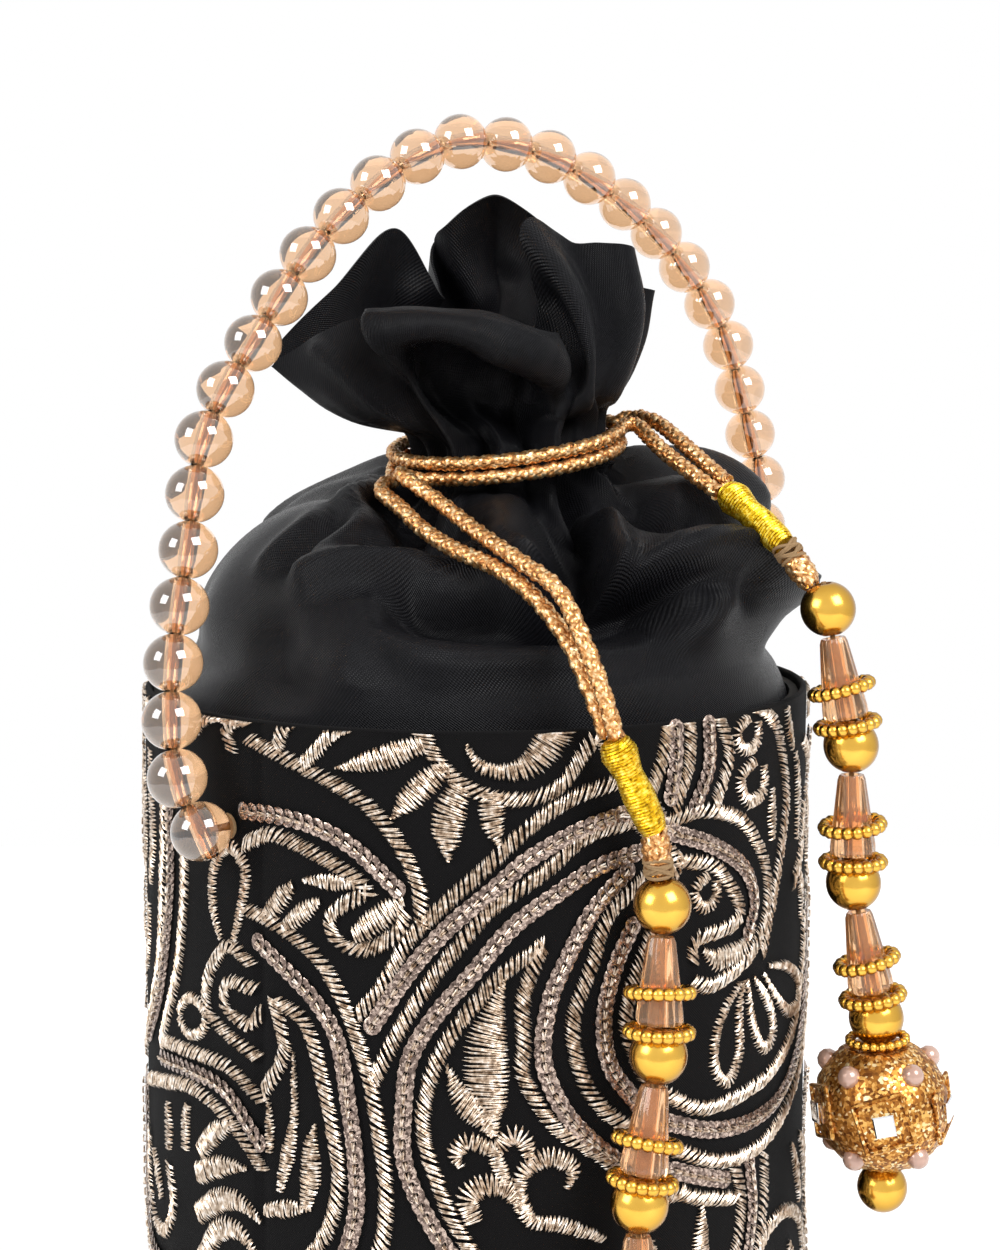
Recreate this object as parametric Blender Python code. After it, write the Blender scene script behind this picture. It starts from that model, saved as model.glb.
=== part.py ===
"""A drawstring bucket pouch: an embroidered round drum, a gathered satin top with
a ruffle, two braided drawstrings ending in beaded tassels, and an arched handle
of glass beads that swings on two stitched rings.

Metres, +Z up. The origin is the centre of the base, on the plane it stands on.
Azimuths are in degrees round the drum: 0 faces -Y, 90 faces +X."""

import math

import bmesh
import bpy
import numpy as np
from mathutils import Matrix, Vector

MM = 0.001
CLEARANCE = 0.3 * MM
SEGMENTS = 60

# Drum
DRUM_RADIUS = 59.5 * MM
DRUM_HEIGHT = 140.0 * MM
SLEEVE_THICKNESS = 1.2 * MM
CARD_THICKNESS = 1.5 * MM
CARD_DROP = 1.2 * MM
BASE_THICKNESS = 2.4 * MM
LINING_THICKNESS = 0.6 * MM
LINING_DROP = 6.0 * MM

# Gathered satin
SATIN_THICKNESS = 0.9 * MM
HEM_DEPTH = 12.0 * MM
HEM_TURN = 3.0 * MM
NECK_RADIUS = 18.5 * MM
NECK_RISE = 42.0 * MM
NECK_CENTRE_X = 5.5 * MM
NECK_SLOPE_X = 0.11
NECK_SLOPE_Y = 0.14
NECK_BAND = 3.8 * MM
RUFFLE_HEIGHT = 45.0 * MM
PLEATS = 12
PLEAT_DEPTH = 5.6 * MM
PLEAT_ROWS_BELOW = 4.5
PLEAT_ROWS_ABOVE = 1.5

# Drawstrings
CORD_DIAMETER = 3.0 * MM
CORD_POINT_SPACING = 7.5 * MM
CORD_TURN_SLACK = 0.5 * MM

# Handle
HANDLE_AZIMUTH = -42.0
HINGE_DROP = 18.0 * MM
HANDLE_RISE = 114.0 * MM
HANDLE_BEAD_DIAMETER = 9.8 * MM
HANDLE_BEAD_PITCH = 9.25 * MM
HANDLE_BEAD_SIDES = 8
HANDLE_BEAD_SEAT = 0.1 * MM
BEAD_SHOULDER = 0.62
HANDLE_PIN_RADIUS = 0.6 * MM
STITCH_RING_RADIUS = 2.2 * MM
STITCH_RING_THICKNESS = 0.6 * MM

# Tassels
BEAD_DIAMETER = 9.2 * MM
END_BEAD_DIAMETER = 8.4 * MM
BEAD_BORE_RADIUS = 1.3 * MM
STRING_RADIUS = 0.45 * MM
CONE_LENGTH = 13.4 * MM
CONE_TOP_RADIUS = 2.25 * MM
CONE_FOOT_RADIUS = 4.0 * MM
CONE_FACETS = 8
RING_RADIUS = 4.7 * MM
RING_GRAIN_RADIUS = 1.0 * MM
CAP_GRAIN_RADIUS = 0.9 * MM
RING_WAIST = 0.72
RING_GRAINS = 12
RING_TILT = 5.0
BALL_DIAMETER = 22.5 * MM
BALL_FLAT_RADIUS = 5.5 * MM
BINDING_RADIUS = 2.7 * MM
BINDING_LENGTH = 16.0 * MM
KNOT_RADIUS = 2.5 * MM
KNOT_NECK = 0.45

# Share of the way from the neck to the rim, and from the rim to the neck band,
# of the puff's outline on each side, read upward.
PUFF_FRONT = (
    (1.00, 0.10), (0.98, 0.24), (0.89, 0.41), (0.75, 0.58),
    (0.54, 0.73), (0.32, 0.86), (0.14, 0.94),
)
PUFF_RIGHT = (
    (0.95, 0.08), (0.90, 0.18), (1.00, 0.39), (0.90, 0.75),
    (0.66, 0.95), (0.34, 0.97), (0.12, 0.97),
)
PUFF_BACK = (
    (0.97, 0.10), (0.95, 0.24), (0.89, 0.46), (0.76, 0.68),
    (0.55, 0.84), (0.31, 0.93), (0.14, 0.97),
)
PUFF_LEFT = (
    (0.93, 0.08), (0.87, 0.20), (0.86, 0.41), (0.75, 0.66),
    (0.55, 0.87), (0.29, 0.99), (0.12, 1.00),
)

# Folds pressed into the puff: path through (azimuth, share of the rise), how far
# the cloth moves outward, and how wide the fold is.
PUFF_FOLDS = (
    (((-24, 0.98), (-14, 0.80), (-10, 0.62)), -4.5 * MM, 5.0 * MM),
    (((-10, 0.62), (-24, 0.60), (-38, 0.48)), -2.5 * MM, 4.5 * MM),
    (((-24, 0.34), (-5, 0.36), (12, 0.34)), -4.5 * MM, 6.0 * MM),
    (((42, 0.98), (30, 0.78), (26, 0.55), (22, 0.36)), -6.0 * MM, 7.0 * MM),
    (((52, 0.97), (38, 0.82), (40, 0.66), (60, 0.58), (82, 0.44)), 3.5 * MM, 4.0 * MM),
    (((62, 0.86), (52, 0.76)), -5.0 * MM, 6.5 * MM),
    (((-150, 0.95), (-155, 0.60)), -3.0 * MM, 6.0 * MM),
    (((125, 0.95), (130, 0.55)), -3.0 * MM, 6.0 * MM),
    (((-95, 0.90), (-100, 0.62)), -2.0 * MM, 7.0 * MM),
)

# The ruffle in order round the neck: azimuth at the neck, then three points up
# the cloth as (x, y) shares of the neck's radius and a share of the ruffle's rise.
RUFFLE = (
    (-75, (-1.56, -0.48, 0.11), (-2.05, -0.43, 0.24), (-2.36, -0.32, 0.34)),
    (-52, (-1.20, -0.86, 0.17), (-1.45, -0.81, 0.35), (-1.58, -0.65, 0.49)),
    (-32, (-0.78, -0.97, 0.20), (-1.03, -1.22, 0.40), (-1.15, -1.08, 0.53)),
    (0, (-0.24, -0.68, 0.25), (-0.24, -1.33, 0.42), (-0.24, -1.40, 0.54)),
    (26, (0.36, -0.76, 0.18), (0.42, -1.28, 0.35), (0.40, -1.34, 0.45)),
    (38, (0.65, -0.92, 0.18), (0.61, -0.82, 0.35), (0.36, -0.70, 0.49)),
    (52, (0.84, -0.90, 0.24), (0.71, -0.80, 0.53), (0.20, -0.38, 0.86)),
    (69, (0.95, -0.62, 0.24), (1.00, -0.54, 0.53), (0.70, -0.38, 0.82)),
    (85, (1.10, -0.31, 0.24), (1.25, -0.32, 0.53), (1.16, -0.32, 0.79)),
    (98, (1.00, 0.02, 0.23), (1.12, 0.06, 0.50), (1.18, 0.11, 0.67)),
    (112, (1.16, 0.38, 0.20), (1.43, 0.43, 0.42), (1.51, 0.38, 0.63)),
    (135, (0.73, 0.76, 0.20), (0.95, 0.76, 0.46), (1.00, 0.86, 0.69)),
    (155, (0.35, 0.97, 0.22), (0.46, 1.08, 0.58), (0.55, 1.08, 0.86)),
    (180, (-0.11, 1.03, 0.22), (-0.14, 1.00, 0.62), (-0.11, 0.70, 1.02)),
    (205, (-0.62, 0.97, 0.20), (-0.73, 0.97, 0.53), (-0.77, 0.82, 0.84)),
    (225, (-0.95, 0.70, 0.18), (-0.89, 0.43, 0.42), (-0.65, 0.22, 0.60)),
    (248, (-1.22, 0.38, 0.18), (-1.38, 0.16, 0.53), (-1.11, -0.05, 0.87)),
    (267, (-1.35, 0.08, 0.16), (-1.65, -0.03, 0.40), (-1.73, -0.11, 0.63)),
)

# The handle's curve from its left ring over the top to its right ring: shares of
# the half span along the hinge line, forward of it, and of the rise above it.
HANDLE_CURVE = (
    (1.00, 0.00, 0.00), (1.03, -0.06, 0.09), (0.99, -0.11, 0.24), (0.92, -0.13, 0.40),
    (0.84, -0.155, 0.56), (0.70, -0.13, 0.69), (0.54, -0.10, 0.82), (0.34, -0.045, 0.93),
    (0.11, 0.02, 1.00), (-0.15, 0.105, 0.99), (-0.385, 0.17, 0.93), (-0.60, 0.21, 0.845),
    (-0.79, 0.25, 0.72), (-0.91, 0.255, 0.565), (-0.985, 0.26, 0.42), (-1.02, 0.18, 0.22),
    (-1.03, 0.06, 0.07), (-1.00, 0.00, 0.00),
)

# Hand-chosen points of each drawstring in millimetres: the two strands between the
# neck and the binding, and the height of its turn round the neck.
LEFT_CORD_TURN = -1.7 * MM
LEFT_STRAND_FROM_FRONT = (
    (-10.2, -16.6, 177.0), (-12.6, -18.2, 177.9), (-12.0, -21.4, 177.6), (-5.8, -27.5, 173.6),
    (1.0, -38.3, 169.2), (7.5, -48.6, 165.6), (13.5, -56.4, 161.6), (17.5, -62.2, 153.8),
    (20.5, -63.4, 145.6), (22.2, -63.2, 139.8),
)
LEFT_STRAND_FROM_BACK = (
    (-14.9, -5.0, 177.4), (-14.6, -10.0, 176.4), (-15.8, -15.0, 176.0), (-15.9, -20.0, 174.8),
    (-12.6, -25.5, 172.6), (-8.3, -31.7, 169.2), (-3.1, -38.8, 166.6), (3.6, -45.2, 164.2),
    (9.6, -52.0, 160.3), (14.9, -57.6, 153.8), (18.5, -59.8, 145.8), (20.9, -60.2, 139.5),
)
RIGHT_CORD_TURN = 1.7 * MM
RIGHT_STRAND_FROM_FRONT = (
    (26.6, -1.5, 185.8), (28.9, -0.6, 186.0), (31.0, -5.5, 183.8), (33.6, -10.2, 181.2),
    (37.3, -16.3, 178.2), (41.7, -21.1, 175.0),
)
RIGHT_STRAND_FROM_BACK = (
    (28.5, 5.2, 187.3), (32.2, 0.6, 186.6), (35.6, -5.5, 184.0), (39.4, -12.3, 180.3),
    (43.6, -18.7, 176.5),
)

# Each tassel: where its binding starts and ends, its first bead, and how far each
# stretch below leans from straight down, toward +X and toward -Y.
LEFT_BINDING = ((21.8, -62.1, 139.1), (28.6, -60.3, 124.0))
LEFT_FIRST_BEAD = (29.7, -59.4, 112.6)
LEFT_LEANS = ((-1.7, 5.4), (-7.5, 5.4), (-2.0, 5.4), (-2.0, 5.4), (-2.0, 5.4))
RIGHT_BINDING = ((43.3, -20.7, 175.1), (52.0, -31.4, 166.6))
RIGHT_FIRST_BEAD = (58.8, -34.6, 156.4)
RIGHT_LEANS = ((10.0, 0.0), (1.5, 0.0), (10.0, 0.0), (4.0, 0.0), (1.0, 0.0))

# Derived sizes
NECK_HEIGHT = DRUM_HEIGHT + NECK_RISE
CARD_OUTER = DRUM_RADIUS - SLEEVE_THICKNESS - CLEARANCE
HEM_RADIUS = CARD_OUTER - CARD_THICKNESS - CLEARANCE
LINING_OUTER = HEM_RADIUS - SATIN_THICKNESS - CLEARANCE
HINGE_HEIGHT = DRUM_HEIGHT - HINGE_DROP
RING_STANDOFF = CLEARANCE + STITCH_RING_THICKNESS + CLEARANCE
HALF_SPAN = DRUM_RADIUS + RING_STANDOFF + HANDLE_BEAD_DIAMETER / 2 - HANDLE_BEAD_SEAT
CORD_TURN_RADIUS = NECK_RADIUS + CORD_TURN_SLACK + CORD_DIAMETER / 2


def clear_scene():
    for thing in list(bpy.data.objects):
        bpy.data.objects.remove(thing, do_unlink=True)


def material(name, colour, roughness, metallic=0.0):
    finish = bpy.data.materials.new(name)
    finish.use_nodes = True
    shader = finish.node_tree.nodes["Principled BSDF"]
    shader.inputs["Base Color"].default_value = (*colour, 1.0)
    shader.inputs["Roughness"].default_value = roughness
    shader.inputs["Metallic"].default_value = metallic
    finish.diffuse_color = (*colour, 1.0)
    return finish


def add_object(name, mesh_maker, finish, parent=None, place=None, smooth=True):
    """Turns a bmesh into a named object with its faces pointing out."""
    bmesh.ops.recalc_face_normals(mesh_maker, faces=mesh_maker.faces[:])
    mesh = bpy.data.meshes.new(name)
    mesh_maker.to_mesh(mesh)
    mesh_maker.free()
    mesh.materials.append(finish)
    if smooth:
        mesh.shade_smooth()
        mesh.set_sharp_from_angle(angle=math.radians(35))
    return place_object(name, mesh, parent, place)


def place_object(name, data, parent=None, place=None):
    thing = bpy.data.objects.new(name, data)
    bpy.context.scene.collection.objects.link(thing)
    if parent:
        thing.parent = parent
    if place:
        thing.matrix_local = place
    return thing


def direction(azimuth):
    angle = math.radians(azimuth)
    return Vector((math.sin(angle), -math.cos(angle), 0.0))


def catmull_rom(points, count):
    """Samples a smooth curve through the points, with count steps in each span."""
    knots = np.array(points, dtype=float)
    ends = np.vstack([2 * knots[0] - knots[1], knots, 2 * knots[-1] - knots[-2]])
    samples = []
    for i in range(1, len(ends) - 2):
        for step in range(count):
            samples.append(curve_point(ends[i - 1:i + 3], step / count))
    samples.append(knots[-1])
    return np.array(samples)


def curve_point(four, t):
    before, start, end, after = four
    return 0.5 * (
        2 * start
        + (end - before) * t
        + (2 * before - 5 * start + 4 * end - after) * t ** 2
        + (3 * start - before - 3 * end + after) * t ** 3
    )


def even_points(curve, count):
    """Reads count + 1 points at equal distances along a sampled curve."""
    steps = np.linalg.norm(np.diff(curve, axis=0), axis=1)
    length = np.concatenate([[0.0], np.cumsum(steps)])
    stations = np.linspace(0.0, length[-1], count + 1)
    return np.array([[np.interp(s, length, curve[:, axis]) for axis in range(3)] for s in stations])


def curve_length(curve):
    return float(np.linalg.norm(np.diff(curve, axis=0), axis=1).sum())


def turned(name, profile, finish, sides=SEGMENTS, **options):
    """Turns a closed (radius, height) outline round Z; a point on the axis is a pole."""
    maker = bmesh.new()
    rings = []
    for radius, height in profile:
        if radius == 0.0:
            rings.append([maker.verts.new((0.0, 0.0, height))])
            continue
        ring = []
        for side in range(sides):
            angle = 2 * math.pi * side / sides
            ring.append(maker.verts.new((radius * math.sin(angle), -radius * math.cos(angle), height)))
        rings.append(ring)
    closed = len(rings[0]) > 1
    pairs = list(zip(rings, rings[1:] + ([rings[0]] if closed else [])))
    for low, high in pairs:
        for side in range(sides):
            after = (side + 1) % sides
            corners = [low[side % len(low)], low[after % len(low)]]
            corners += [high[after % len(high)], high[side % len(high)]]
            maker.faces.new(list(dict.fromkeys(corners)))
    return add_object(name, maker, finish, **options)


def tube_outline(inner, outer, low, high):
    return ((inner, low), (outer, low), (outer, high), (inner, high))


def drum(cloth, card, lining):
    """The embroidered sleeve, the card tube and disc that stiffen it, and the lining."""
    sleeve_inner = DRUM_RADIUS - SLEEVE_THICKNESS
    turned("drum_sleeve", tube_outline(sleeve_inner, DRUM_RADIUS, 0.0, DRUM_HEIGHT), cloth)
    base_radius = sleeve_inner - CLEARANCE
    turned(
        "base_disc",
        ((0.0, 0.0), (base_radius, 0.0), (base_radius, BASE_THICKNESS), (0.0, BASE_THICKNESS)),
        card,
    )
    floor = BASE_THICKNESS + CLEARANCE
    card_inner = CARD_OUTER - CARD_THICKNESS
    turned("drum_card", tube_outline(card_inner, CARD_OUTER, floor, DRUM_HEIGHT - CARD_DROP), card)
    inner = LINING_OUTER - LINING_THICKNESS
    top = DRUM_HEIGHT - LINING_DROP
    turned(
        "lining_bag",
        (
            (0.0, floor), (LINING_OUTER, floor), (LINING_OUTER, top),
            (inner, top), (inner, floor + LINING_THICKNESS), (0.0, floor + LINING_THICKNESS),
        ),
        lining,
    )


def neck_height(x, y):
    """The tied neck is not level: its plane drops toward the front left."""
    return NECK_HEIGHT + NECK_SLOPE_X * (x - NECK_CENTRE_X) + NECK_SLOPE_Y * y


def ring_interpolate(keys, values, wanted):
    """Smooth closed interpolation of rows of values given at azimuths that grow round the ring."""
    keys = np.array(keys, dtype=float)
    values = np.array(values, dtype=float)
    count = len(keys)
    result = []
    for azimuth in wanted:
        turned_azimuth = (azimuth - keys[0]) % 360.0 + keys[0]
        i = int(np.searchsorted(keys, turned_azimuth, side="right")) - 1
        following = keys[(i + 1) % count] + (360.0 if i + 1 == count else 0.0)
        t = (turned_azimuth - keys[i]) / (following - keys[i])
        four = [values[(i + shift) % count] for shift in (-1, 0, 1, 2)]
        result.append(curve_point(four, t))
    return np.array(result)


def puff_share(azimuth):
    """Blends the four side outlines of the puff at one azimuth."""
    front = max(0.0, math.cos(math.radians(azimuth))) ** 2
    back = max(0.0, -math.cos(math.radians(azimuth))) ** 2
    right = max(0.0, math.sin(math.radians(azimuth))) ** 2
    left = max(0.0, -math.sin(math.radians(azimuth))) ** 2
    return (
        front * np.array(PUFF_FRONT) + right * np.array(PUFF_RIGHT)
        + back * np.array(PUFF_BACK) + left * np.array(PUFF_LEFT)
    )


def satin_controls(azimuths):
    """Rows of points up the cloth at each azimuth: hem, puff, neck band and ruffle."""
    ruffle = ring_interpolate([row[0] for row in RUFFLE], [row[1:] for row in RUFFLE], azimuths)
    columns = []
    for azimuth, cloth in zip(azimuths, ruffle):
        out = direction(azimuth)
        neck = Vector((NECK_CENTRE_X, 0.0, 0.0)) + NECK_RADIUS * out
        neck_z = neck_height(neck.x, neck.y)
        column = [
            (HEM_RADIUS * out.x, HEM_RADIUS * out.y, DRUM_HEIGHT - HEM_DEPTH),
            (HEM_RADIUS * out.x, HEM_RADIUS * out.y, DRUM_HEIGHT - HEM_TURN),
        ]
        for spread, rise in puff_share(azimuth):
            radius = NECK_RADIUS + spread * (HEM_RADIUS - NECK_RADIUS)
            height = DRUM_HEIGHT + rise * (neck_z - NECK_BAND - DRUM_HEIGHT)
            column.append((NECK_CENTRE_X * (1 - spread) + radius * out.x, radius * out.y, height))
        column.append((neck.x, neck.y, neck_z - NECK_BAND))
        column.append((neck.x, neck.y, neck_z + NECK_BAND))
        for east, north, rise in cloth:
            column.append((
                NECK_CENTRE_X + east * NECK_RADIUS, north * NECK_RADIUS, NECK_HEIGHT + rise * RUFFLE_HEIGHT,
            ))
        columns.append(column)
    return np.array(columns).transpose(1, 0, 2)


def surface_normals(grid):
    """Outward normals of a grid of rows that each close round the axis."""
    along = np.roll(grid, -1, axis=1) - np.roll(grid, 1, axis=1)
    up = np.gradient(grid, axis=0)
    normal = np.cross(along, up)
    return normal / np.linalg.norm(normal, axis=2, keepdims=True)


def pleat_weight(row, neck_row):
    """Pleats are full at the neck band, and fade down the puff and up the ruffle."""
    below = 1.0 - max(0.0, neck_row - row) / PLEAT_ROWS_BELOW
    above = 1.0 - max(0.0, row - neck_row - 1.0) / PLEAT_ROWS_ABOVE
    return max(0.0, min(below, above)) ** 1.5


def fold_shift(grid, puff_rows):
    """How far each fold moves the puff's cloth along its normal."""
    shift = np.zeros(grid.shape[:2])
    heights = grid[:, :, 2]
    azimuth = np.degrees(np.arctan2(grid[:, :, 0], -grid[:, :, 1]))
    radius = np.hypot(grid[:, :, 0], grid[:, :, 1])
    band = NECK_RISE - NECK_BAND
    for path, depth, width in PUFF_FOLDS:
        marks = catmull_rom([(a, share) for a, share in path], 6)
        reach = np.full(heights.shape, np.inf)
        for mark_azimuth, mark_share in marks:
            turn = (azimuth - mark_azimuth + 180.0) % 360.0 - 180.0
            sideways = np.radians(turn) * radius
            upward = (heights - DRUM_HEIGHT) - mark_share * band
            reach = np.minimum(reach, np.hypot(sideways, 1.2 * upward))
        shift += depth * np.exp(-(reach / width) ** 2)
    rows = np.arange(len(grid))[:, None]
    weight = np.clip(puff_rows - 0.5 - rows, 0.0, 1.0) * np.clip((rows - 1.5), 0.0, 1.0)
    return shift * weight


def satin_surface(columns, rows):
    """The cloth's outer face as a grid: rows are fractions of the control rows."""
    azimuths = [360.0 * i / columns - 180.0 for i in range(columns)]
    controls = satin_controls(azimuths)
    neck_row = len(controls) - 5
    controls = controls + surface_normals(controls) * fold_shift(controls, neck_row)[:, :, None]
    ends = np.concatenate([2 * controls[:1] - controls[1:2], controls, 2 * controls[-1:] - controls[-2:-1]])
    grid = []
    for row in rows:
        start = min(int(row), len(controls) - 2)
        level = curve_point(ends[start:start + 4], row - start)
        wave = 0.5 * (np.cos(np.radians(np.array(azimuths) * PLEATS)) - 1.0)
        inward = PLEAT_DEPTH * pleat_weight(row, neck_row) * wave
        outward = np.array([tuple(direction(azimuth)) for azimuth in azimuths])
        grid.append(level + outward * inward[:, None])
    return np.array(grid)


def satin_cloth(finish):
    """One gathered piece of cloth, as two nodes that meet just below the drawstrings:
    the puff with its hem inside the card, and the tied neck with its open ruffle."""
    neck_row = 2 + len(PUFF_FRONT)
    rows = [float(i) for i in range(neck_row + 2)]
    rows += [neck_row + 1 + step / 2 for step in range(1, 7)]
    outer = satin_surface(SEGMENTS, rows)
    inner = outer - SATIN_THICKNESS * surface_normals(outer)
    cloth_band("satin_puff", outer[:neck_row + 1], inner[:neck_row + 1], finish)
    cloth_band("satin_ruffle", outer[neck_row:], inner[neck_row:], finish)


def cloth_band(name, outer, inner, finish):
    """A closed ring of cloth between the levels of its outer face and of its inner one."""
    maker = bmesh.new()
    levels = [[maker.verts.new(point) for point in level] for level in list(outer) + list(inner[::-1])]
    for low, high in zip(levels, levels[1:] + levels[:1]):
        for side in range(SEGMENTS):
            after = (side + 1) % SEGMENTS
            maker.faces.new((low[side], low[after], high[after], high[side]))
    # Two bands meet in a ring of bent faces, so both split them along the same diagonals.
    bmesh.ops.triangulate(maker, faces=maker.faces[:], quad_method="SHORT_EDGE")
    return add_object(name, maker, finish)


def cord_tube(name, points, radius, finish):
    """A round tube along a list of points, as a bevelled curve with capped ends."""
    data = bpy.data.curves.new(name, "CURVE")
    data.dimensions = "3D"
    data.bevel_depth = radius
    data.bevel_resolution = 2
    data.use_fill_caps = True
    spline = data.splines.new("POLY")
    spline.points.add(len(points) - 1)
    for knot, place in zip(spline.points, points):
        knot.co = (*place, 1.0)
    data.materials.append(finish)
    return place_object(name, data)


def neck_turn(start, end, lift):
    """Points of a cord's turn round the neck, from one azimuth to another."""
    count = max(2, round(abs(end - start) / 20))
    points = []
    for i in range(count + 1):
        out = direction(start + (end - start) * i / count)
        x = NECK_CENTRE_X + CORD_TURN_RADIUS * out.x
        y = CORD_TURN_RADIUS * out.y
        points.append((x, y, neck_height(x, y) + lift))
    return points


def drawstring(name, strand_in, turn, strand_out, finish):
    """One cord: up one strand from its binding, round the neck and back down the other."""
    route = [tuple(MM * value for value in point) for point in reversed(strand_in)]
    route += turn
    route += [tuple(MM * value for value in point) for point in strand_out]
    curve = catmull_rom(route, 8)
    points = even_points(curve, round(curve_length(curve) / CORD_POINT_SPACING))
    return cord_tube(name, points, CORD_DIAMETER / 2, finish)


def facing(point, toward):
    """A placement at a point whose Z runs along a direction."""
    return Matrix.Translation(point) @ Vector(toward).to_track_quat("Z", "Y").to_matrix().to_4x4()


def bead_outline(diameter, bore):
    """Half outline of a drilled round bead, from the bore's foot round the outside."""
    radius = diameter / 2
    lip = math.sqrt(radius ** 2 - bore ** 2)
    rounds = [(radius * math.cos(a), radius * math.sin(a)) for a in map(math.radians, (-50, -17, 17, 50))]
    return [(bore, -lip), *rounds, (bore, lip)]


def ball_outline():
    radius = BALL_DIAMETER / 2
    flat = math.acos(BALL_FLAT_RADIUS / radius)
    angles = [-flat + 2 * flat * step / 5 for step in range(6)]
    rounds = [(radius * math.cos(a), radius * math.sin(a)) for a in angles]
    flat_height = radius * math.sin(flat)
    return [(BEAD_BORE_RADIUS, -flat_height), *rounds, (BEAD_BORE_RADIUS, flat_height)], flat_height


def cone_bead(name, finish, place):
    outline = (
        (BEAD_BORE_RADIUS, 0.0), (CONE_FOOT_RADIUS, 0.0),
        (CONE_TOP_RADIUS, CONE_LENGTH), (BEAD_BORE_RADIUS, CONE_LENGTH),
    )
    return turned(name, outline, finish, sides=CONE_FACETS, place=place, smooth=False)


def grain_ring(name, grain, finish, place):
    """A ring of soldered grains: a square-section torus whose section swells at each grain."""
    maker = bmesh.new()
    steps = 2 * RING_GRAINS
    sections = []
    for step in range(steps):
        size = grain if step % 2 == 0 else RING_WAIST * grain
        out = direction(360.0 * step / steps)
        corners = ((size, 0.0), (0.0, size), (-size, 0.0), (0.0, -size))
        sections.append([maker.verts.new(out * (RING_RADIUS + x) + Vector((0, 0, z))) for x, z in corners])
    for step in range(steps):
        here, after = sections[step], sections[(step + 1) % steps]
        for i in range(4):
            j = (i + 1) % 4
            maker.faces.new((here[i], here[j], after[j], after[i]))
    return add_object(name, maker, finish, place=place)


def lean_direction(lean):
    """Straight down, leaned toward +X and toward -Y by angles in degrees."""
    return Vector((math.tan(math.radians(lean[0])), -math.tan(math.radians(lean[1])), -1.0)).normalized()


def binding(name, ends, finish):
    """The thread wound round both strands, thicker in the middle, tapered at its ends."""
    top, foot = (Vector(point) * MM for point in ends)
    axis = (foot - top).normalized()
    shares = ((0.0, 0.0), (0.8, 0.0), (1.0, 0.25), (0.9, 0.7), (0.75, 1.0), (0.0, 1.0))
    outline = [(BINDING_RADIUS * r, BINDING_LENGTH * h) for r, h in shares]
    turned(name, outline, finish, sides=12, place=facing(top, axis))
    return top + axis * BINDING_LENGTH, axis


def knot(name, start, axis, length, finish):
    """The thread knot between the binding and the first bead, which carries the string."""
    shares = ((0.0, 0.0), (KNOT_NECK, 0.05), (1.0, 0.4), (1.0, 0.65), (0.6, 0.98), (0.0, 1.0))
    outline = [(KNOT_RADIUS * r, length * h) for r, h in shares]
    turned(name, outline, finish, sides=10, place=facing(start, axis))


def tassel(side, binding_ends, first_bead, leans, finishes):
    """Binding, knot and string, with gold beads, cones, grain rings and the mirror ball on it."""
    thread, tie, gold, peach, glitter = finishes
    foot, axis = binding(f"{side}_binding", binding_ends, thread)
    bead = Vector(first_bead) * MM
    knot_axis = (bead - foot).normalized()
    turn = axis.angle(knot_axis)
    gap = (CLEARANCE + KNOT_NECK * KNOT_RADIUS * math.sin(turn)) / math.cos(turn)
    radius = BEAD_DIAMETER / 2
    knot_length = (bead - foot).length - gap - CLEARANCE - radius
    knot(f"{side}_knot", foot + knot_axis * gap, knot_axis, knot_length, tie)
    above = lean_direction(leans[0])
    route = [bead - above * radius]
    for unit in range(4):
        down = lean_direction(leans[unit])
        turned(
            f"{side}_gold_bead_{unit + 1}", bead_outline(BEAD_DIAMETER, BEAD_BORE_RADIUS), gold,
            sides=10, place=facing(bead, -(above + down)),
        )
        route.append(bead.copy())
        above = down
        if unit == 3:
            break
        cone_foot = bead + down * (radius + CLEARANCE + CONE_LENGTH)
        cone_bead(f"{side}_cone_{unit + 1}", peach, facing(cone_foot, -down))
        next_bead = cone_foot + down * (CLEARANCE + radius)
        ring_share = (RING_RADIUS - RING_GRAIN_RADIUS - CLEARANCE - CONE_TOP_RADIUS)
        ring_share /= CONE_FOOT_RADIUS - CONE_TOP_RADIUS
        ring_place = cone_foot - down * CONE_LENGTH * (1 - 0.98 * ring_share)
        tilt = Matrix.Rotation(math.radians(RING_TILT), 4, "X")
        grain_ring(f"{side}_upper_ring_{unit + 1}", RING_GRAIN_RADIUS, gold, facing(ring_place, -down) @ tilt)
        seat = math.sqrt((radius + RING_GRAIN_RADIUS + CLEARANCE) ** 2 - RING_RADIUS ** 2)
        seat_place = facing(next_bead - down * seat, -down)
        grain_ring(f"{side}_lower_ring_{unit + 1}", RING_GRAIN_RADIUS, gold, seat_place)
        bead = next_bead
    down = lean_direction(leans[3])
    outline, flat = ball_outline()
    ball = bead + down * (radius + CLEARANCE + flat)
    turned(f"{side}_mirror_ball", outline, glitter, sides=16, place=facing(ball, -down))
    ring_height = flat + CLEARANCE + CAP_GRAIN_RADIUS
    grain_ring(f"{side}_cap_ring", CAP_GRAIN_RADIUS, gold, facing(ball - down * ring_height, -down))
    route.append(ball.copy())
    down = lean_direction(leans[4])
    end = ball + down * (flat + CLEARANCE + END_BEAD_DIAMETER / 2)
    outline = bead_outline(END_BEAD_DIAMETER, BEAD_BORE_RADIUS)
    turned(f"{side}_end_bead", outline, gold, sides=10, place=facing(end, -down))
    route.append(end + down * END_BEAD_DIAMETER / 2)
    cord_tube(f"{side}_string", route, STRING_RADIUS, tie)


def handle_frame():
    """The hinge line's centre, its direction to the left ring and its forward direction."""
    left = direction(HANDLE_AZIMUTH)
    forward = Vector((0.0, 0.0, 1.0)).cross(left)
    return Vector((0.0, 0.0, HINGE_HEIGHT)), left, forward


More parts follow.
